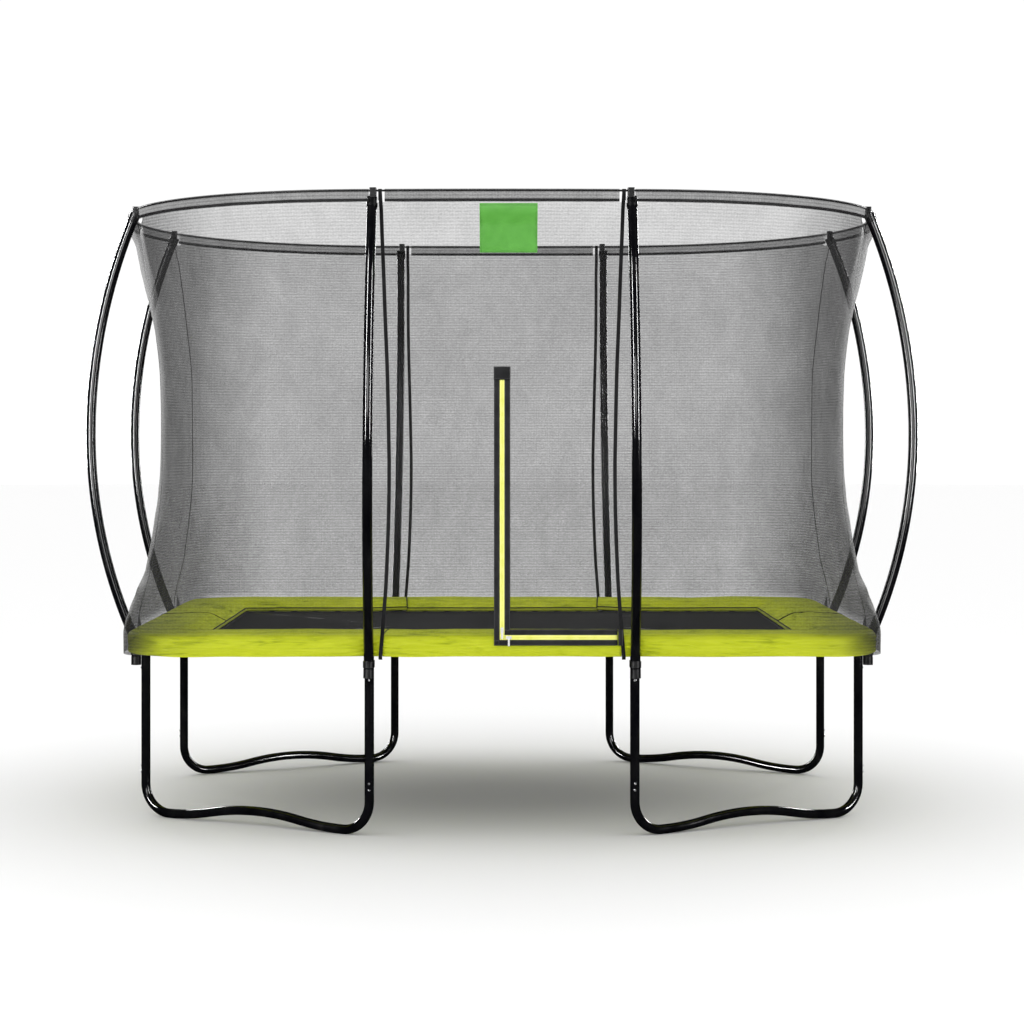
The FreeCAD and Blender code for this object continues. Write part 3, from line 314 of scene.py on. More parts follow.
def patch_finish():
    f = Finish("patch_green_weave", srgb(86, 176, 48), 0.6, Sheen_Weight=0.2)
    fade = f.noise(18, 5, 0.6)
    f.tones(fade, srgb(78, 166, 42), srgb(88, 176, 52), 0.52, 0.7)
    f.bump((f.math("MULTIPLY", f.bands("X", 0.0012), f.bands("Z", 0.0012)), 0.4, 0.0004))
    return f.mat


def zip_finish():
    f = Finish("zip_yellow_tape", srgb(248, 248, 120), 0.5, Sheen_Weight=0.1)
    fade = f.noise(30, 4, 0.6)
    f.tones(fade, srgb(240, 242, 100), srgb(252, 252, 140), 0.42, 0.6)
    f.bump((f.math("ADD", f.bands("Z", 0.0016), f.bands("X", 0.0016)), 0.35, 0.0005))
    return f.mat


TUBE = tube_finish()
BOLT = metal_finish("zinc_bolts", grey(0.42, 0.01), grey(0.78, 0.02), 0.28)
SPRING = metal_finish("galvanised_springs", grey(0.36, 0.01), grey(0.66, 0.02), 0.34)
CAP = plastic_finish("black_moulded_plastic", grey(0.003), grey(0.010), 0.32)
ROD = plastic_finish("ring_fibreglass_black", grey(0.010), grey(0.030), 0.35)
WHITE = plastic_finish("slider_white_plastic", grey(0.70, -0.02), grey(0.86, -0.01), 0.38)
NET = net_finish("net_black_mesh", 0.28, 0.47)
CORNER_NET = net_finish("net_black_mesh_corners", 0.28, 0.47, 0.34)
SIDE_NET = net_finish("net_black_mesh_sides", 0.60, 0.80)
SLEEVE = net_finish("sleeve_black_mesh", 0.34, 0.54)
SLEEVE_HEM = net_finish("sleeve_hem_black_mesh", 0.60, 0.84)
WEB = webbing_finish("webbing_black", grey(0.003), grey(0.012), 0.0022)
BAND = webbing_finish("zip_binding_black", grey(0.008), grey(0.024, 0.002), 0.0018)
THREAD = webbing_finish("sewing_thread_grey", grey(0.10, 0.01), grey(0.20, 0.01), 0.0010)
GREEN_THREAD = webbing_finish("sewing_thread_green", (0.03, 0.13, 0.02, 1), (0.06, 0.22, 0.04, 1), 0.0010)
PAD = pad_finish()
MAT_CLOTH = mat_finish()
PATCH = patch_finish()
ZIP = zip_finish()

CAD_FINISH = (
    (TUBE, ("base_", "leg_", "corner_rail_", "rail_", "frame_sockets", "poles_")),
    (BOLT, ("frame_bolts",)), (CAP, ("pole_brackets", "pole_foot_caps", "pole_top_caps")),
    (ROD, ("ring_rods",)), (WHITE, ("slider_", "pull_")),
)
for node_name, node in NODES.items():
    for material, prefixes in CAD_FINISH:
        if node_name.startswith(prefixes):
            node.data.materials.clear()
            node.data.materials.append(material)


# ---- mesh helpers

TAPE_PROFILE = ((-0.5, 0.25), (-0.47, 0.85), (-0.25, 1.0), (0.0, 1.0), (0.25, 1.0), (0.47, 0.85),
                (0.5, 0.25), (0.47, 0.0), (0.0, 0.0), (-0.47, 0.0))


class Build:
    """Collects the vertices and faces of one piece."""

    def __init__(self):
        self.verts = []
        self.faces = []

    def skin(self, rings, closed=False):
        """Skin over closed rings of points, one after another, with its ends capped."""
        start, count = len(self.verts), len(rings[0])
        for ring in rings:
            self.verts.extend(ring)
        for i in range(len(rings) if closed else len(rings) - 1):
            a, b = start + i * count, start + (i + 1) % len(rings) * count
            for k in range(count):
                m = (k + 1) % count
                self.faces.append((a + k, a + m, b + m, b + k))
        if not closed:
            self.faces.append(tuple(range(start, start + count)))
            self.faces.append(tuple(range(start + (len(rings) - 1) * count, start + len(rings) * count)))

    def grid(self, rows):
        """Open sheet over rows of points."""
        start, count = len(self.verts), len(rows[0])
        for row in rows:
            self.verts.extend(row)
        for i in range(len(rows) - 1):
            for k in range(count - 1):
                a = start + i * count + k
                self.faces.append((a, a + 1, a + count + 1, a + count))

    def ribbon(self, line, width, thick):
        """Flat tape with rounded edges along (centre, across, outward) triples; it stands outward."""
        rings = [[c + s * (u * width) + n * (v * thick) for u, v in TAPE_PROFILE] for c, s, n in line]
        self.skin(rings)

    def tube(self, points, radius, sides=8, closed=False):
        """Round bar along points, its frame carried along without twist."""
        rings, count, side = [], len(points), None
        for k, point in enumerate(points):
            before = points[k - 1] if k or closed else point
            after = points[(k + 1) % count] if k < count - 1 or closed else point
            along = (after - before).normalized()
            if side is None:
                side = along.orthogonal()
            side = (side - along * side.dot(along)).normalized()
            other = along.cross(side)
            turns = [2 * math.pi * i / sides for i in range(sides)]
            rings.append([point + side * (radius * math.cos(turn)) + other * (radius * math.sin(turn))
                          for turn in turns])
        self.skin(rings, closed)

    def stitches(self, line, pitch=0.0065, length=0.0042, radius=0.00055):
        """Row of short raised stitches along (point, across, outward) triples."""
        done = 0.0
        for (a, s, n), (b, _, _) in zip(line, line[1:]):
            span = (b - a).length
            along = (b - a) / max(span, 1e-6)
            while done < span:
                middle = a + along * done
                rings = []
                for end, high in ((-0.5, 0.1), (-0.25, 1.0), (0.25, 1.0), (0.5, 0.1)):
                    base = middle + along * (end * length)
                    rings.append([base - s * radius, base + n * (radius * high), base + s * radius,
                                  base - n * (radius * 0.6)])
                self.skin(rings)
                done += pitch
            done -= span

    def make(self, name, material, slot, *replaces, ride=True, sheet=False):
        mesh = bpy.data.meshes.new(name)
        mesh.from_pydata([tuple(v) for v in self.verts], [], self.faces)
        mesh.materials.append(material)
        if not sheet:
            bm = bmesh.new()
            bm.from_mesh(mesh)
            bmesh.ops.recalc_face_normals(bm, faces=bm.faces)
            bm.to_mesh(mesh)
            bm.free()
        mesh.shade_smooth()
        obj = add_object(name, mesh)
        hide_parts(*replaces)
        if ride:
            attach(obj, "root")
        return obj


def mirrored(points, sx, sy):
    return [Vector((p.x * sx, p.y * sy, p.z)) for p in points]


def mirrored_line(line, sx, sy):
    """Mirror (centre, across, outward) triples."""
    return [tuple(mirrored(triple, sx, sy)) for triple in line]


# ---- net surface

def monotone_slopes(xs, ys):
    steps = [(ys[i + 1] - ys[i]) / (xs[i + 1] - xs[i]) for i in range(len(xs) - 1)]
    inner = [0.0 if a * b <= 0 else 2 * a * b / (a + b) for a, b in zip(steps, steps[1:])]
    return [steps[0]] + inner + [steps[-1]]


HEIGHTS, *COLUMNS = zip(*NET_SECTIONS)
CURVES = [(values, monotone_slopes(HEIGHTS, values)) for values in COLUMNS]


def net_section(z):
    """Seam A x and y, seam B x and y, side bow and corner power at a height."""
    z = min(max(z, HEIGHTS[0]), HEIGHTS[-1])
    i = max(k for k in range(len(HEIGHTS) - 1) if HEIGHTS[k] <= z)
    span = HEIGHTS[i + 1] - HEIGHTS[i]
    t = (z - HEIGHTS[i]) / span
    out = []
    for values, slopes in CURVES:
        start = (2 * t ** 3 - 3 * t ** 2 + 1) * values[i] + (t ** 3 - 2 * t ** 2 + t) * span * slopes[i]
        end = (3 * t ** 2 - 2 * t ** 3) * values[i + 1] + (t ** 3 - t ** 2) * span * slopes[i + 1]
        out.append(start + end)
    return out


def ring_circles():
    """Centre and radius of the ring's side, corner and front arcs, with the corner's angles."""
    (ax, ay), (bx, by) = RING_A, RING_B
    side_x = (RING_END[0] ** 2 - ax ** 2 - ay ** 2) / (2 * (RING_END[0] - ax))
    start = math.atan2(ay, ax - side_x)
    ux, uy = -math.cos(start), -math.sin(start)
    gap_x, gap_y = bx - ax, by - ay
    corner_r = (gap_x ** 2 + gap_y ** 2) / (2 * (gap_x * ux + gap_y * uy))
    cx, cy = ax + ux * corner_r, ay + uy * corner_r
    front_r = (bx ** 2 + (RING_END[1] - by) ** 2) / (2 * (RING_END[1] - by))
    front_y = RING_END[1] - front_r
    front_start = math.atan2(by - front_y, bx)
    return {"side": ((side_x, 0.0), RING_END[0] - side_x, -start, start),
            "corner": ((cx, cy), corner_r, start, math.atan2(by - cy, bx - cx)),
            "front": ((0.0, front_y), front_r, front_start, math.pi - front_start)}


RING = ring_circles()


def to_ring(p, kind):
    """The level move that brings a point onto one of the ring's circles."""
    (cx, cy), radius, _, _ = RING[kind]
    away = Vector((p.x - cx, p.y - cy, 0))
    return away.normalized() * (radius - away.length)


def pole_dent(p, depth):
    """How far a pole presses the cloth inward at a point of the +X +Y quarter."""
    low = depth * (1 - smooth((p.z - 0.80) / 0.07))
    x, y = abs(p.x), abs(p.y)
    move = Vector((0, 0, 0))
    if y > 0.95:
        move.y -= plateau(abs(x - POLE_B_X), 0.012, 0.018) * low
        move.y -= 0.050 * plateau(abs(x - 0.507), 0.026, 0.100) * smooth((p.z - 2.40) / 0.11)
    if x > 1.35:
        move.x -= plateau(abs(y - POLE_A_Y), 0.012, 0.018) * low
        move.x -= 0.022 * plateau(abs(y - 0.555), 0.026, 0.080) * smooth((p.z - 2.44) / 0.08)
    return move


def scalloped(z, p):
    """Lower the net's top edge in the open gaps of the sleeve beside each pole."""
    gap = min(math.hypot(abs(p.x) - RING_A[0], abs(p.y) - RING_A[1]),
              math.hypot(abs(p.x) - RING_B[0], abs(p.y) - RING_B[1]))
    return z - 0.016 * plateau(gap, 0.020, 0.030) * smooth((z - 2.40) / 0.12)


def wrinkle(p):
    """Slack, folds and creases of the hanging net."""
    slack = 0.007 * noise.noise(p * 1.7 + Vector((3, 1, 7)))
    folds = 0.0035 * noise.noise(Vector((p.x * 8, p.y * 8, p.z * 1.3)))
    ridge = 1 - abs(noise.noise(Vector((p.x * 3.1, p.y * 3.1, p.z * 2.2 + 4))))
    low = math.exp(-max(p.z - 0.72, 0) / 0.22)
    pull = 0.007 * low * noise.noise(Vector((p.x * 13 + p.z * 9, p.y * 13 - p.z * 9, p.z * 5)))
    return slack + folds + 0.004 * ridge ** 10 + pull


def set_in(p, out, kind, seam_gap, quiet=1.0):
    """Final place of a net point of the +X +Y quarter; seam_gap is the distance to the nearest seam."""
    rise = smooth((p.z - RISE) / 0.09)
    shift = to_ring(p, kind)
    if kind == "corner" and seam_gap < 0.08:
        near = to_ring(p, "side" if p.y < 0.8 else "front")
        shift = shift.lerp(near, 1 - smooth(seam_gap / 0.08))
    place = p + shift * rise
    calm = smooth(seam_gap / 0.09) * (1 - smooth((p.z - 2.42) / 0.08))
    calm *= 0.25 + 0.75 * smooth((p.z - 0.73) / 0.1)
    place += out * (wrinkle(p) * calm * quiet)
    place += pole_dent(place, NET_DENT)
    place.z = scalloped(p.z, place)
    return place


def long_base(x_share, z):
    """Point of a long-side panel; x_share runs from -1 at the left seam to 1 at the right."""
    _, _, bx, by, bow, _ = net_section(z)
    bow *= 0.1 * smooth((z - DOOR_TOP) / 0.32)
    return Vector((bx * x_share, by + bow * (1 - x_share ** 2), z))


def side_base(y_share, z):
    ax, ay, _, _, bow, _ = net_section(z)
    return Vector((ax + bow * (1 - y_share ** 2), ay * y_share, z))


def corner_row(z, cells):
    """Even points of a corner panel's row from seam A to seam B, their outward directions and length."""
    ax, ay, bx, by, _, power = net_section(z)
    dense, steps = [], 240
    for k in range(steps + 1):
        turn = math.pi / 2 * k / steps
        warp = turn - 0.499 * math.sin(4 * turn) / 2 * min(1.0, (power - 1.5) / 3)
        c, s = max(math.cos(warp), 0.0), max(math.sin(warp), 0.0)
        dense.append(Vector((bx + (ax - bx) * c ** (2 / power), ay + (by - ay) * s ** (2 / power), z)))
    lengths = [0.0]
    for a, b in zip(dense, dense[1:]):
        lengths.append(lengths[-1] + (b - a).length)
    points, j = [], 0
    for k in range(cells + 1):
        want = lengths[-1] * k / cells
        while j < steps - 1 and lengths[j + 1] < want:
            j += 1
        share = (want - lengths[j]) / max(lengths[j + 1] - lengths[j], 1e-9)
        points.append(dense[j].lerp(dense[j + 1], min(share, 1.0)))
    outs = []
    for k in range(cells + 1):
        along = points[min(k + 1, cells)] - points[max(k - 1, 0)]
        outs.append(Vector((along.y, -along.x, 0)).normalized())
    return points, outs, lengths[-1]


NET_ROWS = 100
NET_HEIGHTS = [NET_FOOT + (NET_TOP - NET_FOOT) * k / NET_ROWS for k in range(NET_ROWS + 1)]


def door_quiet(p):
    """0 beside the zips, rising to 1 away from the entrance, so that the doorway stays flat."""
    zip_up = abs(p.x) if p.z < 1.92 else math.hypot(p.x, p.z - 1.92)
    zip_over = abs(p.z - DOOR_FOOT) if -0.04 < p.x < 0.5 else 1.0
    fold = abs((p.x - FOLD_TOP[0]) * FOLD_ACROSS[0] + (p.z - FOLD_TOP[1]) * FOLD_ACROSS[1])
    fold = fold if p.z < 1.85 and p.x > 0 else 1.0
    beside = max(PATCH_X[0] - p.x, p.x - PATCH_X[1], 0.0)
    patch = math.hypot(beside, max(PATCH_Z[0] - p.z, 0.0)) + 0.03
    return smooth((min(zip_up, zip_over, fold, patch) - 0.04) / 0.13)


def side_rows(kind, cells, door=False):
    """Net of a long ("front") or short ("side") side; the long side's with or without the entrance."""
    long_side = kind == "front"
    rows = []
    for z in NET_HEIGHTS:
        row = []
        for k in range(cells + 1):
            share = (2 * k / cells - 1) * (1 if long_side else -1)
            base = long_base(share, z) if long_side else side_base(share, z)
            quiet = door_quiet(Vector((base.x, 0, z))) if door else 1.0
            gap = (1 - abs(share)) * (0.46 if long_side else 0.48)
            row.append(set_in(base, BACK if long_side else RIGHT, kind, gap, quiet))
        rows.append(row)
    return rows


def corner_panel():
    rows, cells = [], 86
    for z in NET_HEIGHTS:
        points, outs, length = corner_row(z, cells)
        row = []
        for k, (p, out) in enumerate(zip(points, outs)):
            if k in (0, cells):
                out = BACK if k else RIGHT
            gap = length * min(k, cells - k) / cells
            row.append(set_in(p, out, "corner", gap))
        rows.append(row)
    return rows


def net_object(name, rows, sx, sy, material, node):
    shape = Build()
    shape.grid([mirrored(row, sx, sy) for row in rows])
    return shape.make(name, material, "net_mesh", node, sheet=True)


def hinge_x(z):
    share = (FOLD_TOP[1] - z) / (FOLD_TOP[1] - FOLD_FOOT[1])
    return FOLD_TOP[0] + (FOLD_FOOT[0] - FOLD_TOP[0]) * share


def cut_front(obj):
    """Divide the front net at the doorway's edges, and give the flap's faces to a new object."""
    bm = bmesh.new()
    bm.from_mesh(obj.data)
    planes = (((FOLD_TOP[0], 0, 0), (1, 0, 0)), ((0, 0, FOLD_FOOT[1]), (0, 0, 1)),
              ((0, 0, DOOR_TOP), (0, 0, 1)),
              ((FOLD_TOP[0], 0, FOLD_TOP[1]), (FOLD_ACROSS[0], 0, FOLD_ACROSS[1])))
    for point, normal in planes:
        geometry = bm.verts[:] + bm.edges[:] + bm.faces[:]
        bmesh.ops.bisect_plane(bm, geom=geometry, dist=1e-6, plane_co=point, plane_no=normal)
    flap_bm = bm.copy()
    for part, in_flap in ((bm, True), (flap_bm, False)):
        faces = [(face, face.calc_center_median()) for face in part.faces]
        unwanted = [face for face, c in faces
                    if (FOLD_FOOT[1] < c.z < DOOR_TOP and FOLD_TOP[0] < c.x < hinge_x(c.z)) == in_flap]
        bmesh.ops.delete(part, geom=unwanted, context="FACES")
    bm.to_mesh(obj.data)
    mesh = bpy.data.meshes.new("door_flap_net")
    flap_bm.to_mesh(mesh)
    mesh.materials.append(NET)
    mesh.shade_smooth()
    bm.free()
    flap_bm.free()
    return add_object("door_flap_net", mesh)


net_front = net_object("net_front_panel", side_rows("front", 56, True), 1, -1, NET, "net_front")
net_flap = cut_front(net_front)
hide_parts("door_flap")
net_back = net_object("net_back_panel", side_rows("front", 56), 1, 1, NET, "net_back")
SIDE_ROWS = side_rows("side", 58)
net_left = net_object("net_left_panel", SIDE_ROWS, -1, 1, SIDE_NET, "net_left")
net_right = net_object("net_right_panel", SIDE_ROWS, 1, 1, SIDE_NET, "net_right")
CORNER_ROWS = corner_panel()
for sx, sy in SIGNS:
    name = "net_corner_" + corner_name(sx, sy)
    net_object(name, CORNER_ROWS, sx, sy, CORNER_NET, "net_corners")


# ---- seam straps and ring sleeve

def seam_line(kind):
    """(centre, across, outward) of a seam strap, from under the skirt to its loop round the rod."""
    line = []
    long_side = kind == "B"
    panel = "front" if long_side else "side"
    out, across = (BACK, RIGHT) if long_side else (RIGHT, BACK)
    ring_x, ring_y = RING_B if long_side else RING_A
    loop_at = (ring_x if long_side else ring_y) - LOOP_IN
    heights = [0.722 + 0.03 * k for k in range(59)] + [2.49]
    first = None
    for z in heights:
        ax, ay, bx, by, bow, _ = net_section(z)
        seam = bx if long_side else ay
        wander = 0.002 * noise.noise(Vector((z * 2, 2.0 if long_side else 9.0, 0)))
        place = seam - STRAP_W / 2 - 0.001 + wander
        place += (loop_at - place) * min(max((z - 1.50) / 0.98, 0.0), 1.0)
        share = place / seam
        p = long_base(share, z) if long_side else side_base(share, z)
        p = set_in(p, out, panel, 0.0)
        line.append((p + out * STRAP_LIFT, across, out))
        first = first or p
    under = [(Vector((first.x, first.y, 0)) - out * inset + UP * z, across, n)
             for z, inset, n in ((0.7122, 0.020, -UP), (0.7124, 0.006, -UP),
                                 (0.7150, -0.0012, out))]
    top = line[-1][0]
    spot = Vector((top.x, top.y, 0))
    on_ring = spot + to_ring(spot, panel)
    for angle in (0, 30, 60, 90, 120, 150, 180):
        a = math.radians(angle)
        n = out * math.cos(a) + UP * math.sin(a)
        line.append((Vector((on_ring.x, on_ring.y, ROD_Z)) + n * 0.0052, across, n))
    line.append((Vector((on_ring.x, on_ring.y, 2.525)) - out * 0.004, across, -out))
    return under + line


strap_build = Build()
for kind in ("A", "B"):
    line = seam_line(kind)
    for sx, sy in SIGNS:
        strap_build.ribbon(mirrored_line(line, sx, sy), STRAP_W, STRAP_T)
straps = strap_build.make("seam_webbing", WEB, "webbing", "net_straps")


def sleeve_rows(kind, sx, sy):
    """Rows of the net's folded sleeve over the rod, with the hem's line."""
    (cx, cy), radius, start, end = RING[kind]
    near, far = {"front": (SLEEVE_GAP, SLEEVE_GAP), "side": (SLEEVE_NEAR, SLEEVE_NEAR),
                 "corner": (SLEEVE_GAP, SLEEVE_NEAR)}[kind]
    start, end = start + near / radius, end - far / radius
    steps = max(8, round((end - start) * radius / 0.014))
    face = list(zip(SLEEVE_HALF_WIDTHS, SLEEVE_LEVELS))
    profile = [(-dr, z) for dr, z in face] + [(0.0, SLEEVE_TOP)] + face[::-1]
    rows, hem = [], []
    for k in range(steps + 1):
        angle = start + (end - start) * k / steps
        out = Vector((math.cos(angle), math.sin(angle), 0))
        base = Vector((cx, cy, 0))
        row = []
        for dr, z in profile:
            slack = smooth((2.556 - z) / 0.03)
            at = base + out * radius
            pucker = 0.0012 * noise.noise(Vector((at.x * 30, at.y * 30, z * 20))) * slack
            row.append(base + out * (radius + dr + pucker) + UP * (z + 0.5 * pucker))
        rows.append(mirrored(row, sx, sy))
        middle = base + out * radius + UP * (2.5262 + 0.001 * noise.noise(out * 9))
        hem.append((middle, UP, out))
    return rows, mirrored_line(hem, sx, sy), (end - start) * radius


hem_build = Build()
sleeve_parts = [("sleeve_front", "front", 1, -1), ("sleeve_back", "front", 1, 1),
                ("sleeve_left", "side", -1, 1), ("sleeve_right", "side", 1, 1)]
sleeve_parts += [("sleeve_" + corner_name(sx, sy), "corner", sx, sy) for sx, sy in SIGNS]
for name, kind, sx, sy in sleeve_parts:
    rows, hem, length = sleeve_rows(kind, sx, sy)
    shape = Build()
    shape.grid(rows)
    sleeve = shape.make(name, SLEEVE, "sleeve_fabric", "net_sleeve", sheet=True)
    for side in (-1, 1):
        shifted = [(c + n * (side * 0.0030), s, n * side) for c, s, n in hem]
        hem_build.ribbon(shifted, 0.0100, 0.0009)
hem_build.make("sleeve_hem_tape", SLEEVE_HEM, "sleeve_fabric")


# ---- entrance

def front_spot(x, z, lift=0.0):
    """Point on the front net, lifted outward."""
    bx = net_section(z)[2]
    p = long_base(x / bx, z)
    p += to_ring(p, "front") * smooth((z - 2.43) / 0.09)
    return Vector((x, -p.y - lift, z))


def upright_line(x, low, high, lift, step=0.015):
    count = max(2, round((high - low) / step))
    spots = [front_spot(x, low + (high - low) * k / count, lift) for k in range(count + 1)]
    return [(spot, RIGHT, TO_FRONT) for spot in spots]


def level_line(z, left, right, lift, step=0.015):
    count = max(2, round((right - left) / step))
    spots = [front_spot(left + (right - left) * k / count, z, lift) for k in range(count + 1)]
    return [(spot, UP, TO_FRONT) for spot in spots]


BAND_LOW = DOOR_FOOT - BAND_HALF
BAND_W = BAND_HALF - ZIP_HALF
BAND_MID = (BAND_HALF + ZIP_HALF) / 2
EDGE = 0.003
binding = Build()
binding.ribbon(upright_line(-BAND_MID, BAND_LOW, DOOR_TOP, CLOTH_LIFT), BAND_W, BAND_T)
binding.ribbon(level_line(BAND_LOW + BAND_W / 2, -ZIP_HALF, DOOR_RIGHT, CLOTH_LIFT), BAND_W, BAND_T)
binding.ribbon(upright_line(0.0, DOOR_TOP - 0.001, DOOR_TOP + END_PATCH_TOP, 0.0010, 0.008),
               2 * BAND_HALF + 0.002, END_PATCH_T)
binding.ribbon(upright_line(DOOR_RIGHT + 0.0125, BAND_LOW, DOOR_FOOT + BAND_HALF, 0.0034, 0.008),
               0.020, END_PATCH_T)
zip_binding = binding.make("zip_binding", BAND, "webbing", "zip_band")

tape = Build()
tape.ribbon(upright_line(0.0, DOOR_FOOT - ZIP_HALF, DOOR_TOP, CLOTH_LIFT), 2 * ZIP_HALF, TAPE_T)
tape.ribbon(level_line(DOOR_FOOT, ZIP_HALF, DOOR_RIGHT - 0.002, CLOTH_LIFT), 2 * ZIP_HALF, TAPE_T)
teeth = [((0.0, DOOR_FOOT + TOOTH_PITCH * k), RIGHT, UP) for k in range(int(1.03 / TOOTH_PITCH))]
teeth += [((TOOTH_PITCH * (k + 1), DOOR_FOOT), UP, RIGHT) for k in range(int(0.45 / TOOTH_PITCH))]
for (x, z), across, along in teeth:
    root = front_spot(x, z, 0.0014)
    tape.skin([[root + across * (u * TOOTH_HALF) + along * (v * TOOTH_HALF_W) + TO_FRONT * h
                for u, v in ((-1, -1), (1, -1), (1, 1), (-1, 1))] for h in (0.0, TOOTH_OUT)])
zip_tape = tape.make("zip_tape", ZIP, "zip_yellow", "zip_strip")

flap_binding = Build()
flap_binding.ribbon(upright_line(BAND_MID + CLOTH_LIFT, FOLD_FOOT[1], DOOR_TOP, CLOTH_LIFT), BAND_W, BAND_T)
flap_binding.ribbon(level_line(DOOR_FOOT + BAND_MID + CLOTH_LIFT, BAND_HALF, DOOR_RIGHT, CLOTH_LIFT), BAND_W,
                    BAND_T)
door_binding = flap_binding.make("door_binding", BAND, "webbing", "door_band", ride=False)

seams = Build()
for x in (-BAND_HALF + EDGE, -ZIP_HALF - EDGE):
    seams.stitches(upright_line(x, BAND_LOW + EDGE, DOOR_TOP, STITCH_LIFT))
for z in (BAND_LOW + EDGE, DOOR_FOOT - ZIP_HALF - EDGE):
    seams.stitches(level_line(z, -BAND_HALF + EDGE, DOOR_RIGHT, STITCH_LIFT))
for x in (-BAND_HALF + EDGE, BAND_HALF - EDGE):
    seams.stitches(upright_line(x, DOOR_TOP + EDGE, DOOR_TOP + 0.049, 0.0027))
for z in (DOOR_TOP + EDGE, DOOR_TOP + 0.049):
    seams.stitches(level_line(z, -BAND_HALF + EDGE, BAND_HALF - EDGE, 0.0027))
for x in (DOOR_RIGHT + 0.0055, DOOR_RIGHT + 0.0195):
    seams.stitches(upright_line(x, BAND_LOW + EDGE, DOOR_FOOT + BAND_HALF - EDGE, 0.0052))
zip_stitching = seams.make("zip_stitching", THREAD, "webbing")

flap_seams = Build()
for x in (ZIP_HALF + EDGE, BAND_HALF - EDGE):
    flap_seams.stitches(upright_line(x, DOOR_FOOT + BAND_HALF, DOOR_TOP, STITCH_LIFT))
for z in (DOOR_FOOT + ZIP_HALF + EDGE, DOOR_FOOT + BAND_HALF - EDGE):
    flap_seams.stitches(level_line(z, ZIP_HALF + EDGE, DOOR_RIGHT, STITCH_LIFT))
door_stitching = flap_seams.make("door_stitching", THREAD, "webbing", ride=False)


def patch_sheet():
    """Plain sewn patch, puckered a little inside its folded edge."""
    across, upward = 30, 26
    rows = []
    for i in range(upward + 1):
        row = []
        for k in range(across + 1):
            u, v = k / across, i / upward
            x = PATCH_X[0] + (PATCH_X[1] - PATCH_X[0]) * u
            z = PATCH_Z[0] + (PATCH_Z[1] - PATCH_Z[0]) * v
            rim = min(min(u, 1 - u) * PATCH_FLAT[0], min(v, 1 - v) * PATCH_FLAT[1])
            puff = 0.0022 * smooth(rim / 0.02) * (1 + noise.noise(Vector((x * 22, 0, z * 22))))
            row.append(front_spot(x, z, 0.0016 + puff + (0.0008 if rim < 0.008 else 0.0)))
        rows.append(row)
    return rows


shape = Build()
shape.grid(patch_sheet())
patch = shape.make("net_patch_cloth", PATCH, "patch_green", "net_patch", sheet=True)
patch_seams = Build()
for inset in (0.0045, 0.0085):
    for x in (PATCH_X[0] + inset, PATCH_X[1] - inset):
        patch_seams.stitches(upright_line(x, PATCH_Z[0] + inset, PATCH_Z[1] - inset, 0.0030), 0.005, 0.0034)
    for z in (PATCH_Z[0] + inset, PATCH_Z[1] - inset):
        patch_seams.stitches(level_line(z, PATCH_X[0] + inset, PATCH_X[1] - inset, 0.0030), 0.005, 0.0034)
patch_stitching = patch_seams.make("patch_stitching", GREEN_THREAD, "patch_green")

for piece in (net_flap, door_binding, door_stitching):
    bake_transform(piece)


# ---- pads

def rounded_path(half, radius, start, cells):
    """(point, outward) pairs of a rounded rectangle's quarter, up to the short side's middle."""
    leg, bend, end = cells
    cx, cy = half[0] - radius, half[1] - radius
    points = [(Vector((start + (cx - start) * k / leg, half[1], 0)), BACK) for k in range(leg)]
    for k in range(bend):
        a = math.pi / 2 * (1 - k / bend)
        n = Vector((math.cos(a), math.sin(a), 0))
        points.append((Vector((cx, cy, 0)) + n * radius, n))
    for k in range(end + 1):
        points.append((Vector((half[0], cy + (0.0012 - cy) * k / end, 0)), RIGHT))
    return points


def near_pole(spot):
    """1 beside a pole's foot, where a pad's cover is gathered, falling to 0."""
    x, y = abs(spot.x), abs(spot.y)
    foot = abs(x - POLE_B_X) if y > 1.0 else abs(y - POLE_A_Y)
    return 1 - smooth((foot - 0.02) / 0.13)


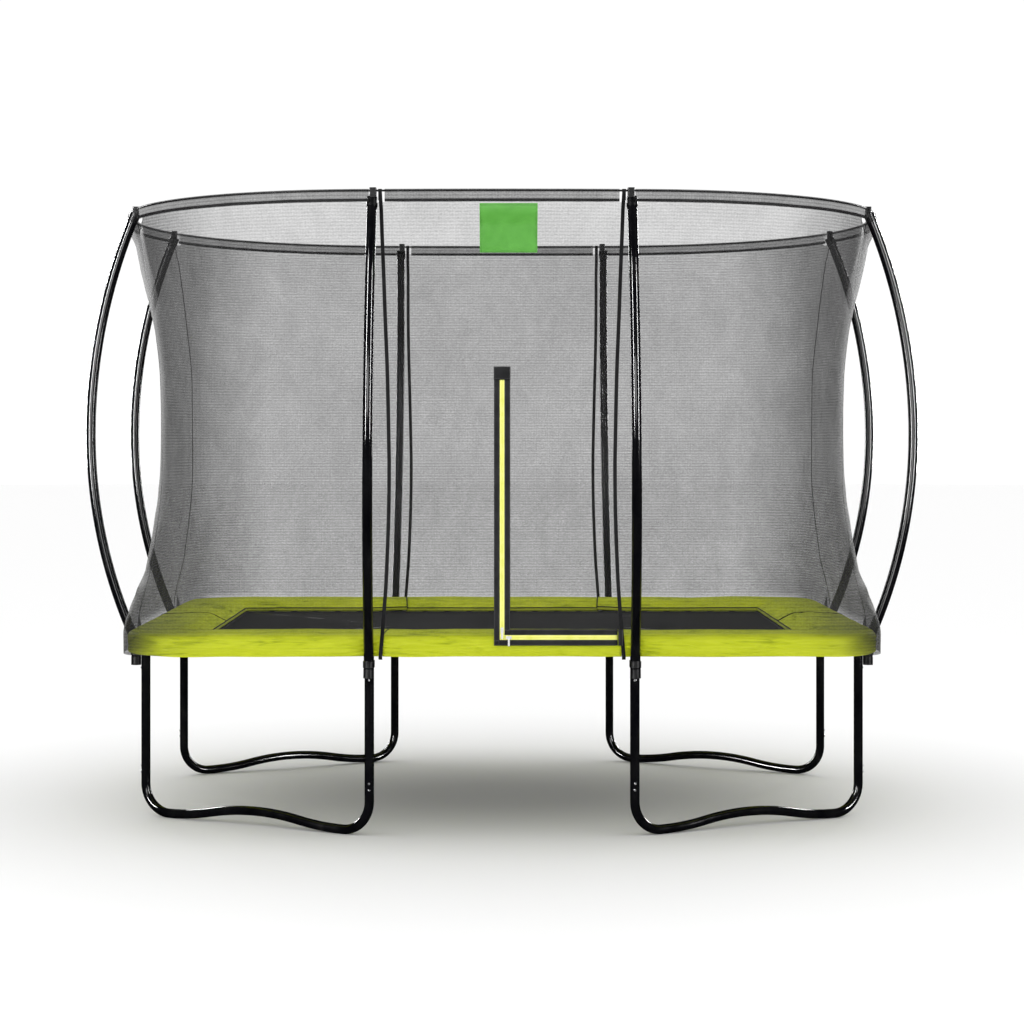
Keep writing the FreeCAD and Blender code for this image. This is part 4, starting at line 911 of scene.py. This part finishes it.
def pad_ring(inner, outer, out, s, seed, corner):
    """One cross-section of a pad, as a closed loop: top, skirt, hem, back of skirt and underside."""
    span = outer - inner
    width = span.length
    e = span / width
    lift = 0.004 * (1 - smooth(s / 0.16)) if corner else 0.0

    def top(d, z, puff):
        spot = inner + e * d
        crease = 0.0026 * noise.noise(Vector((s * 5, d * 40, seed)))
        soft = 0.0042 * noise.noise(Vector((s * 4.5, d * 6, seed + 9)))
        lip = lift * (1 - smooth(d / 0.12)) - 0.026 * (1 - smooth(d / 0.085))
        rise = (crease + soft) * puff + lip
        return spot + UP * (z + rise)

    def skirt(z, back, puff):
        wave = 0.0052 * noise.noise(Vector((s * 6, z * 30, seed + 3)))
        fine = 0.0034 * noise.noise(Vector((s * 9 + z * 30, z * 120, seed + 5)))
        gather = 0.004 * near_pole(outer) * math.sin(z * 330 + s * 60)
        droop = 0.0035 * noise.noise(Vector((s * 5, 0.5, seed + 7))) * smooth((0.76 - z) / 0.03)
        belly = 0.0045 * math.sin(math.pi * min(max((0.812 - z) / 0.09, 0.0), 1.0))
        move = min((wave + fine + gather) * puff + belly, 0.0095) - back
        return outer + out * move + UP * (z + droop)

    loop = [top(0.004, 0.7868, 0), top(0.0005, 0.7900, 0), top(0.0, 0.7950, 0.2), top(0.003, 0.8020, 0.4),
            top(0.010, 0.8062, 0.6)]
    for k in range(1, 22):
        d = 0.010 + (width - 0.030) * k / 22
        crown = 0.0075 * math.sin(math.pi * k / 22) ** 0.6
        loop.append(top(d, 0.8066 + crown, 1.0))
    loop += [top(width - 0.022, 0.8095, 0.9), top(width - 0.012, 0.8065, 0.8), skirt(0.8005, 0.0050, 0.7)]
    for k in range(15):
        loop.append(skirt(0.7930 - 0.0048 * k, 0.0016 if k == 0 else 0.0006, 1.0))
    loop += [skirt(0.7232, 0.0012, 0.8), skirt(0.7220, 0.0030, 0.8), skirt(0.7232, 0.0052, 0.8)]
    loop += [skirt(0.7450, 0.0056, 0.9), skirt(0.7650, 0.0056, 0.9), skirt(0.7835, 0.0056, 0.6)]
    for k in range(7):
        loop.append(top(width - 0.012 - (width - 0.024) * k / 7, 0.7866, 0))
    return [p + pole_dent(p, PAD_DENT) for p in loop]


def pad_object(name, path, signs, seed, corner, node):
    shape = Build()
    s, before = 0.0, None
    rings, edge = [], []
    for inner, outer, out in path:
        s += (outer - before).length if before is not None else 0.0
        before = outer
        ring = pad_ring(inner, outer, out, s, seed, corner)
        rings.append(mirrored(ring, *signs))
        edge.append(mirrored([ring[3] + UP * 0.0005], *signs)[0])
    shape.skin(rings)
    obj = shape.make(name, PAD, "pad_lime", node)
    return rings, edge


CORNER_CELLS = (64, 36, 66)
outer_path = rounded_path(PAD_OUT, PAD_OUT_R, PAD_SPLIT + 0.0008, CORNER_CELLS)
inner_path = rounded_path(PAD_IN, PAD_IN_R, PAD_SPLIT - 0.0200, CORNER_CELLS)
corner_path = [(i, o, n) for (i, _), (o, n) in zip(inner_path, outer_path)]
front_path = [(Vector((share * (PAD_SPLIT - 0.0220), PAD_IN[1], 0)),
               Vector((share * (PAD_SPLIT - 0.0012), PAD_OUT[1], 0)), BACK)
              for share in (-1 + 2 * k / 80 for k in range(81))]
piping = Build()
pad_jobs = [("pad_front_cover", front_path, (1, -1), 1.5, False, "pad_front"),
            ("pad_back_cover", front_path, (1, 1), 12.5, False, "pad_back")]
for number, (sx, sy) in enumerate(SIGNS):
    node = "pad_" + corner_name(sx, sy)
    pad_jobs.append((node + "_cover", corner_path, (sx, sy), 23.5 + 7 * number, True, node))
for name, path, signs, seed, corner, node in pad_jobs:
    rings, edge = pad_object(name, path, signs, seed, corner, node)
    piping.tube(edge, 0.0026, 8)
    for ring in (rings[0], rings[-1]):
        piping.tube([p + UP * 0.0004 for p in ring[3:40]], 0.0016, 6)
piping.make("pad_piping", WEB, "webbing")


# ---- mat, springs and rings

def dishes(obj):
    """Bake the placing of cloth and wire, from the rail in one direction to the mat's middle, into its mesh.
    """
    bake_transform(obj)


SPLIT = RAIL_FACE[0] - RAIL_FACE[1]


def mat_rows(long_side):
    """A quarter sector of the mat in the +Y or +X direction, divided along its diagonals."""
    rows, steps, cells = [], 26, 60
    far = MAT[1] if long_side else MAT[0]
    near = 0.0 if long_side else SPLIT
    for i in range(steps + 1):
        d = far + (near - far) * i / steps
        half = min(d + SPLIT, MAT[0]) if long_side else min(max(d - SPLIT, 0.0005), MAT[1])
        row = []
        for k in range(cells + 1):
            along = half * (-1 + 2 * k / cells)
            x, y = (along, d) if long_side else (d, along)
            ripple = 0.0008 * noise.noise(Vector((x * 6, y * 6, 2)))
            row.append(Vector((x, y, MAT_Z + ripple)))
        rows.append(row)
    return rows


def rail_rows():
    """Ring tip, rail point and side of each spring of one quarter."""
    rows = []
    for k in range(LONG_COUNT):
        x = LONG_PITCH * (k + 0.5)
        rows.append(("long", Vector((x, MAT[1] + RING_REACH, RAIL_Z)), Vector((x, RAIL_FACE[1], RAIL_Z))))
    for k in range(SHORT_COUNT):
        y = SHORT_PITCH * k
        rows.append(("short", Vector((MAT[0] + RING_REACH, y, RAIL_Z)), Vector((RAIL_FACE[0], y, RAIL_Z))))
    out = Vector((1, 1, 0)).normalized()
    tip = Vector((MAT[0] - MAT_CORNER_R, MAT[1] - MAT_CORNER_R, RAIL_Z)) + out * (MAT_CORNER_R + RING_REACH)
    rail = Vector((*RAIL_BEND, RAIL_Z)) + out * RAIL_BEND_R
    rows.append(("long", tip, rail))
    return rows


def spring_points(tip, rail):
    """Coil between two straight ends, each turned down into a hook."""
    out = (rail - tip).normalized()
    side = Vector((-out.y, out.x, 0))
    lead = ((rail - tip).length - SPRING_BODY) / 2
    start = tip + out * lead
    points = [tip - out * 0.0045 - UP * 0.0030, tip - out * 0.0050, tip + out * 0.0005,
              tip + out * (lead - 0.006)]
    count = COIL_TURNS * COIL_STEPS
    for k in range(count + 1):
        a = 2 * math.pi * k / COIL_STEPS
        r = COIL_R * smooth(0.35 + min(k, count - k) / COIL_STEPS / 1.6)
        turn = side * (r * math.cos(a)) + UP * (r * math.sin(a))
        points.append(start + out * (SPRING_BODY * k / count) + turn)
    points += [start + out * (SPRING_BODY + 0.006), rail + out * 0.004, rail + out * 0.0075 - UP * 0.004]
    return points


def ring_points(tip, rail):
    """Rounded triangle of wire at the mat's edge."""
    out = (rail - tip).normalized()
    side = Vector((-out.y, out.x, 0))
    root = tip - out * 0.0348 - UP * 0.005
    corners = [(0.002, -0.020), (0.002, 0.020), (0.032, 0.0035), (0.032, -0.0035)]
    points = []
    for k, (o, s) in enumerate(corners):
        for neighbour in (corners[k - 1], corners[(k + 1) % 4]):
            gap = math.hypot(neighbour[0] - o, neighbour[1] - s)
            t = min(0.004 / gap, 0.35)
            points.append(root + out * (o + (neighbour[0] - o) * t) + side * (s + (neighbour[1] - s) * t))
    return points


def tab_line(tip, rail):
    """Webbing tab folded from the hem round the ring's bar."""
    out = (rail - tip).normalized()
    side = Vector((-out.y, out.x, 0))
    root = tip - out * RING_REACH
    spots = ((-0.030, 0.7588, 1), (-0.004, 0.7590, 1), (0.0030, 0.7580, 1), (0.0056, 0.7550, 0),
             (0.0030, 0.7518, -1), (-0.004, 0.7508, -1), (-0.030, 0.7508, -1))
    line = []
    for o, z, face in spots:
        n = UP * face if face else out
        line.append((Vector((root.x, root.y, z)) + out * o, side, n))
    return line


SIDES = {"front": ("long", 1, -1), "back": ("long", 1, 1),
         "left": ("short", -1, 1), "right": ("short", 1, 1)}
HEM_CELLS = 80
for side, (kind, sx, sy) in SIDES.items():
    wires, rings, tabs, hem, threads, cloth = (Build() for _ in range(6))
    for row_kind, tip, rail in rail_rows():
        if row_kind != kind:
            continue
        for flip in (-1, 1):
            fx, fy = (flip, sy) if kind == "long" else (sx, flip)
            if flip > 0 and kind == "short" and tip.y < 0.001:
                continue
            wires.tube(mirrored(spring_points(tip, rail), fx, fy), SPRING_WIRE_R, 5)
            rings.tube(mirrored(ring_points(tip, rail), fx, fy), RING_WIRE_R, 6, closed=True)
            tabs.ribbon(mirrored_line(tab_line(tip, rail), fx, fy), TAB_W, MAT_HEM_T)
    long_side = kind == "long"
    half = MAT[0] if long_side else MAT[1] - MAT_HEM_W
    across = BACK if long_side else RIGHT
    edge = (MAT[1] if long_side else MAT[0]) - MAT_HEM_W / 2
    for level, outward in ((MAT_Z + 0.0004, UP), (MAT_Z - 0.0014, -UP)):
        line = []
        for k in range(HEM_CELLS + 1):
            along = half * (-1 + 2 * k / HEM_CELLS)
            p = Vector((along, edge * sy, level)) if long_side else Vector((edge * sx, along, level))
            line.append((p, across, outward))
        hem.ribbon(line, MAT_HEM_W, MAT_HEM_T)
        if outward is UP:
            for offset in (-0.0155, -0.0125, 0.0125, 0.0155):
                threads.stitches([(c + s * offset + n * 0.0014, s, n) for c, s, n in line], 0.008, 0.0052)
    cloth.grid([mirrored(row, sx, sy) for row in mat_rows(long_side)])
    pieces = [
        wires.make(f"springs_{side}", SPRING, "spring_steel", "springs", ride=False),
        rings.make(f"mat_rings_{side}", SPRING, "spring_steel", "mat_rings", ride=False),
        tabs.make(f"ring_tabs_{side}", WEB, "webbing", ride=False),
        hem.make(f"mat_hem_{side}", WEB, "webbing", "mat_hem", ride=False),
        threads.make(f"mat_stitching_{side}", THREAD, "webbing", ride=False),
        cloth.make(f"jump_mat_{side}", MAT_CLOTH, "mat_black", "jump_mat", ride=False, sheet=True),
    ]
    for piece in pieces:
        dishes(piece)


# ---- floor, light and camera

def floor_painted_shadow_finish():
    """White paper, with a painted shadow: greyer under the trampoline, white further out."""
    f = Finish("studio_floor", grey(0.985, 0), 0.9, Specular_IOR_Level=0.05)
    away = f.node("VectorMath")
    away.operation = "LENGTH"
    f.put(away.inputs[0], f.mapped((0.8, 1.0, 1.0)))
    # painted shadow: the colour runs from 0.70 under the trampoline's middle through 0.90 to 0.985 about 2.9
    # m out
    f.drive("Base Color", f.colours(f.ranged(away.outputs["Value"], 0.0, 1.0, 0.3, 2.9),
                                    (0.0, grey(0.70, 0)), (0.5, grey(0.90, 0)), (1.0, grey(0.985, 0))))
    return f.mat


floor_turns = [2 * math.pi * k / FLOOR_SIDES for k in range(FLOOR_SIDES)]
floor_rim = [(FLOOR_R * math.cos(turn), FLOOR_R * math.sin(turn), 0) for turn in floor_turns]
mesh = bpy.data.meshes.new("studio_floor")
mesh.from_pydata(floor_rim, [], [tuple(range(FLOOR_SIDES))])
mesh.materials.append(floor_painted_shadow_finish())
floor = add_object("studio_floor", mesh)
floor.visible_glossy = False

world = bpy.data.worlds.new("studio")
world.use_nodes = True
backdrop = world.node_tree.nodes["Background"]
backdrop.inputs["Color"].default_value = (1, 1, 1, 1)
backdrop.inputs["Strength"].default_value = 1.03
bpy.context.scene.world = world
world.cycles_visibility.glossy = False
bpy.context.scene.view_settings.view_transform = "Standard"

# name, place, height of its aim, width, height, watts, and whether matt surfaces take its light
LIGHTS = (
    ("key", (-5.6, -6.4, 3.2), 1.0, 0.6, 5.0, 900, False),
    ("fill", (6.4, -6.0, 3.0), 1.2, 0.6, 5.0, 750, False),
    ("back_left", (-5.0, 6.0, 3.4), 1.2, 0.6, 4.6, 600, False),
    ("back_right", (5.2, 6.2, 3.4), 1.2, 0.6, 4.6, 600, False),
    ("top", (0.0, 0.6, 8.0), 0.0, 5.0, 5.0, 40, True),
    ("front", (-1.5, -13.0, 2.2), 1.0, 6.0, 2.5, 260, True),
)
for name, place, aim, wide, tall, power, matt in LIGHTS:
    data = bpy.data.lights.new(name + "_light", "AREA")
    data.shape = "RECTANGLE"
    data.size, data.size_y = wide, tall
    data.energy = power
    lamp = add_object(name + "_light", data)
    lamp.visible_diffuse = matt
    lamp.location = place
    lamp.rotation_euler = (UP * aim - Vector(place)).to_track_quat("-Z", "Y").to_euler()

camera_data = bpy.data.cameras.new("camera")
camera_data.lens, camera_data.sensor_width = LENS, 36
camera_data.shift_x, camera_data.shift_y = CAMERA_SHIFT
camera_data.clip_end = 200
camera = add_object("camera", camera_data)
camera.location = CAMERA_AT
camera.rotation_euler = (math.pi / 2, 0, 0)
bpy.context.scene.camera = camera

bpy.context.view_layer.update()
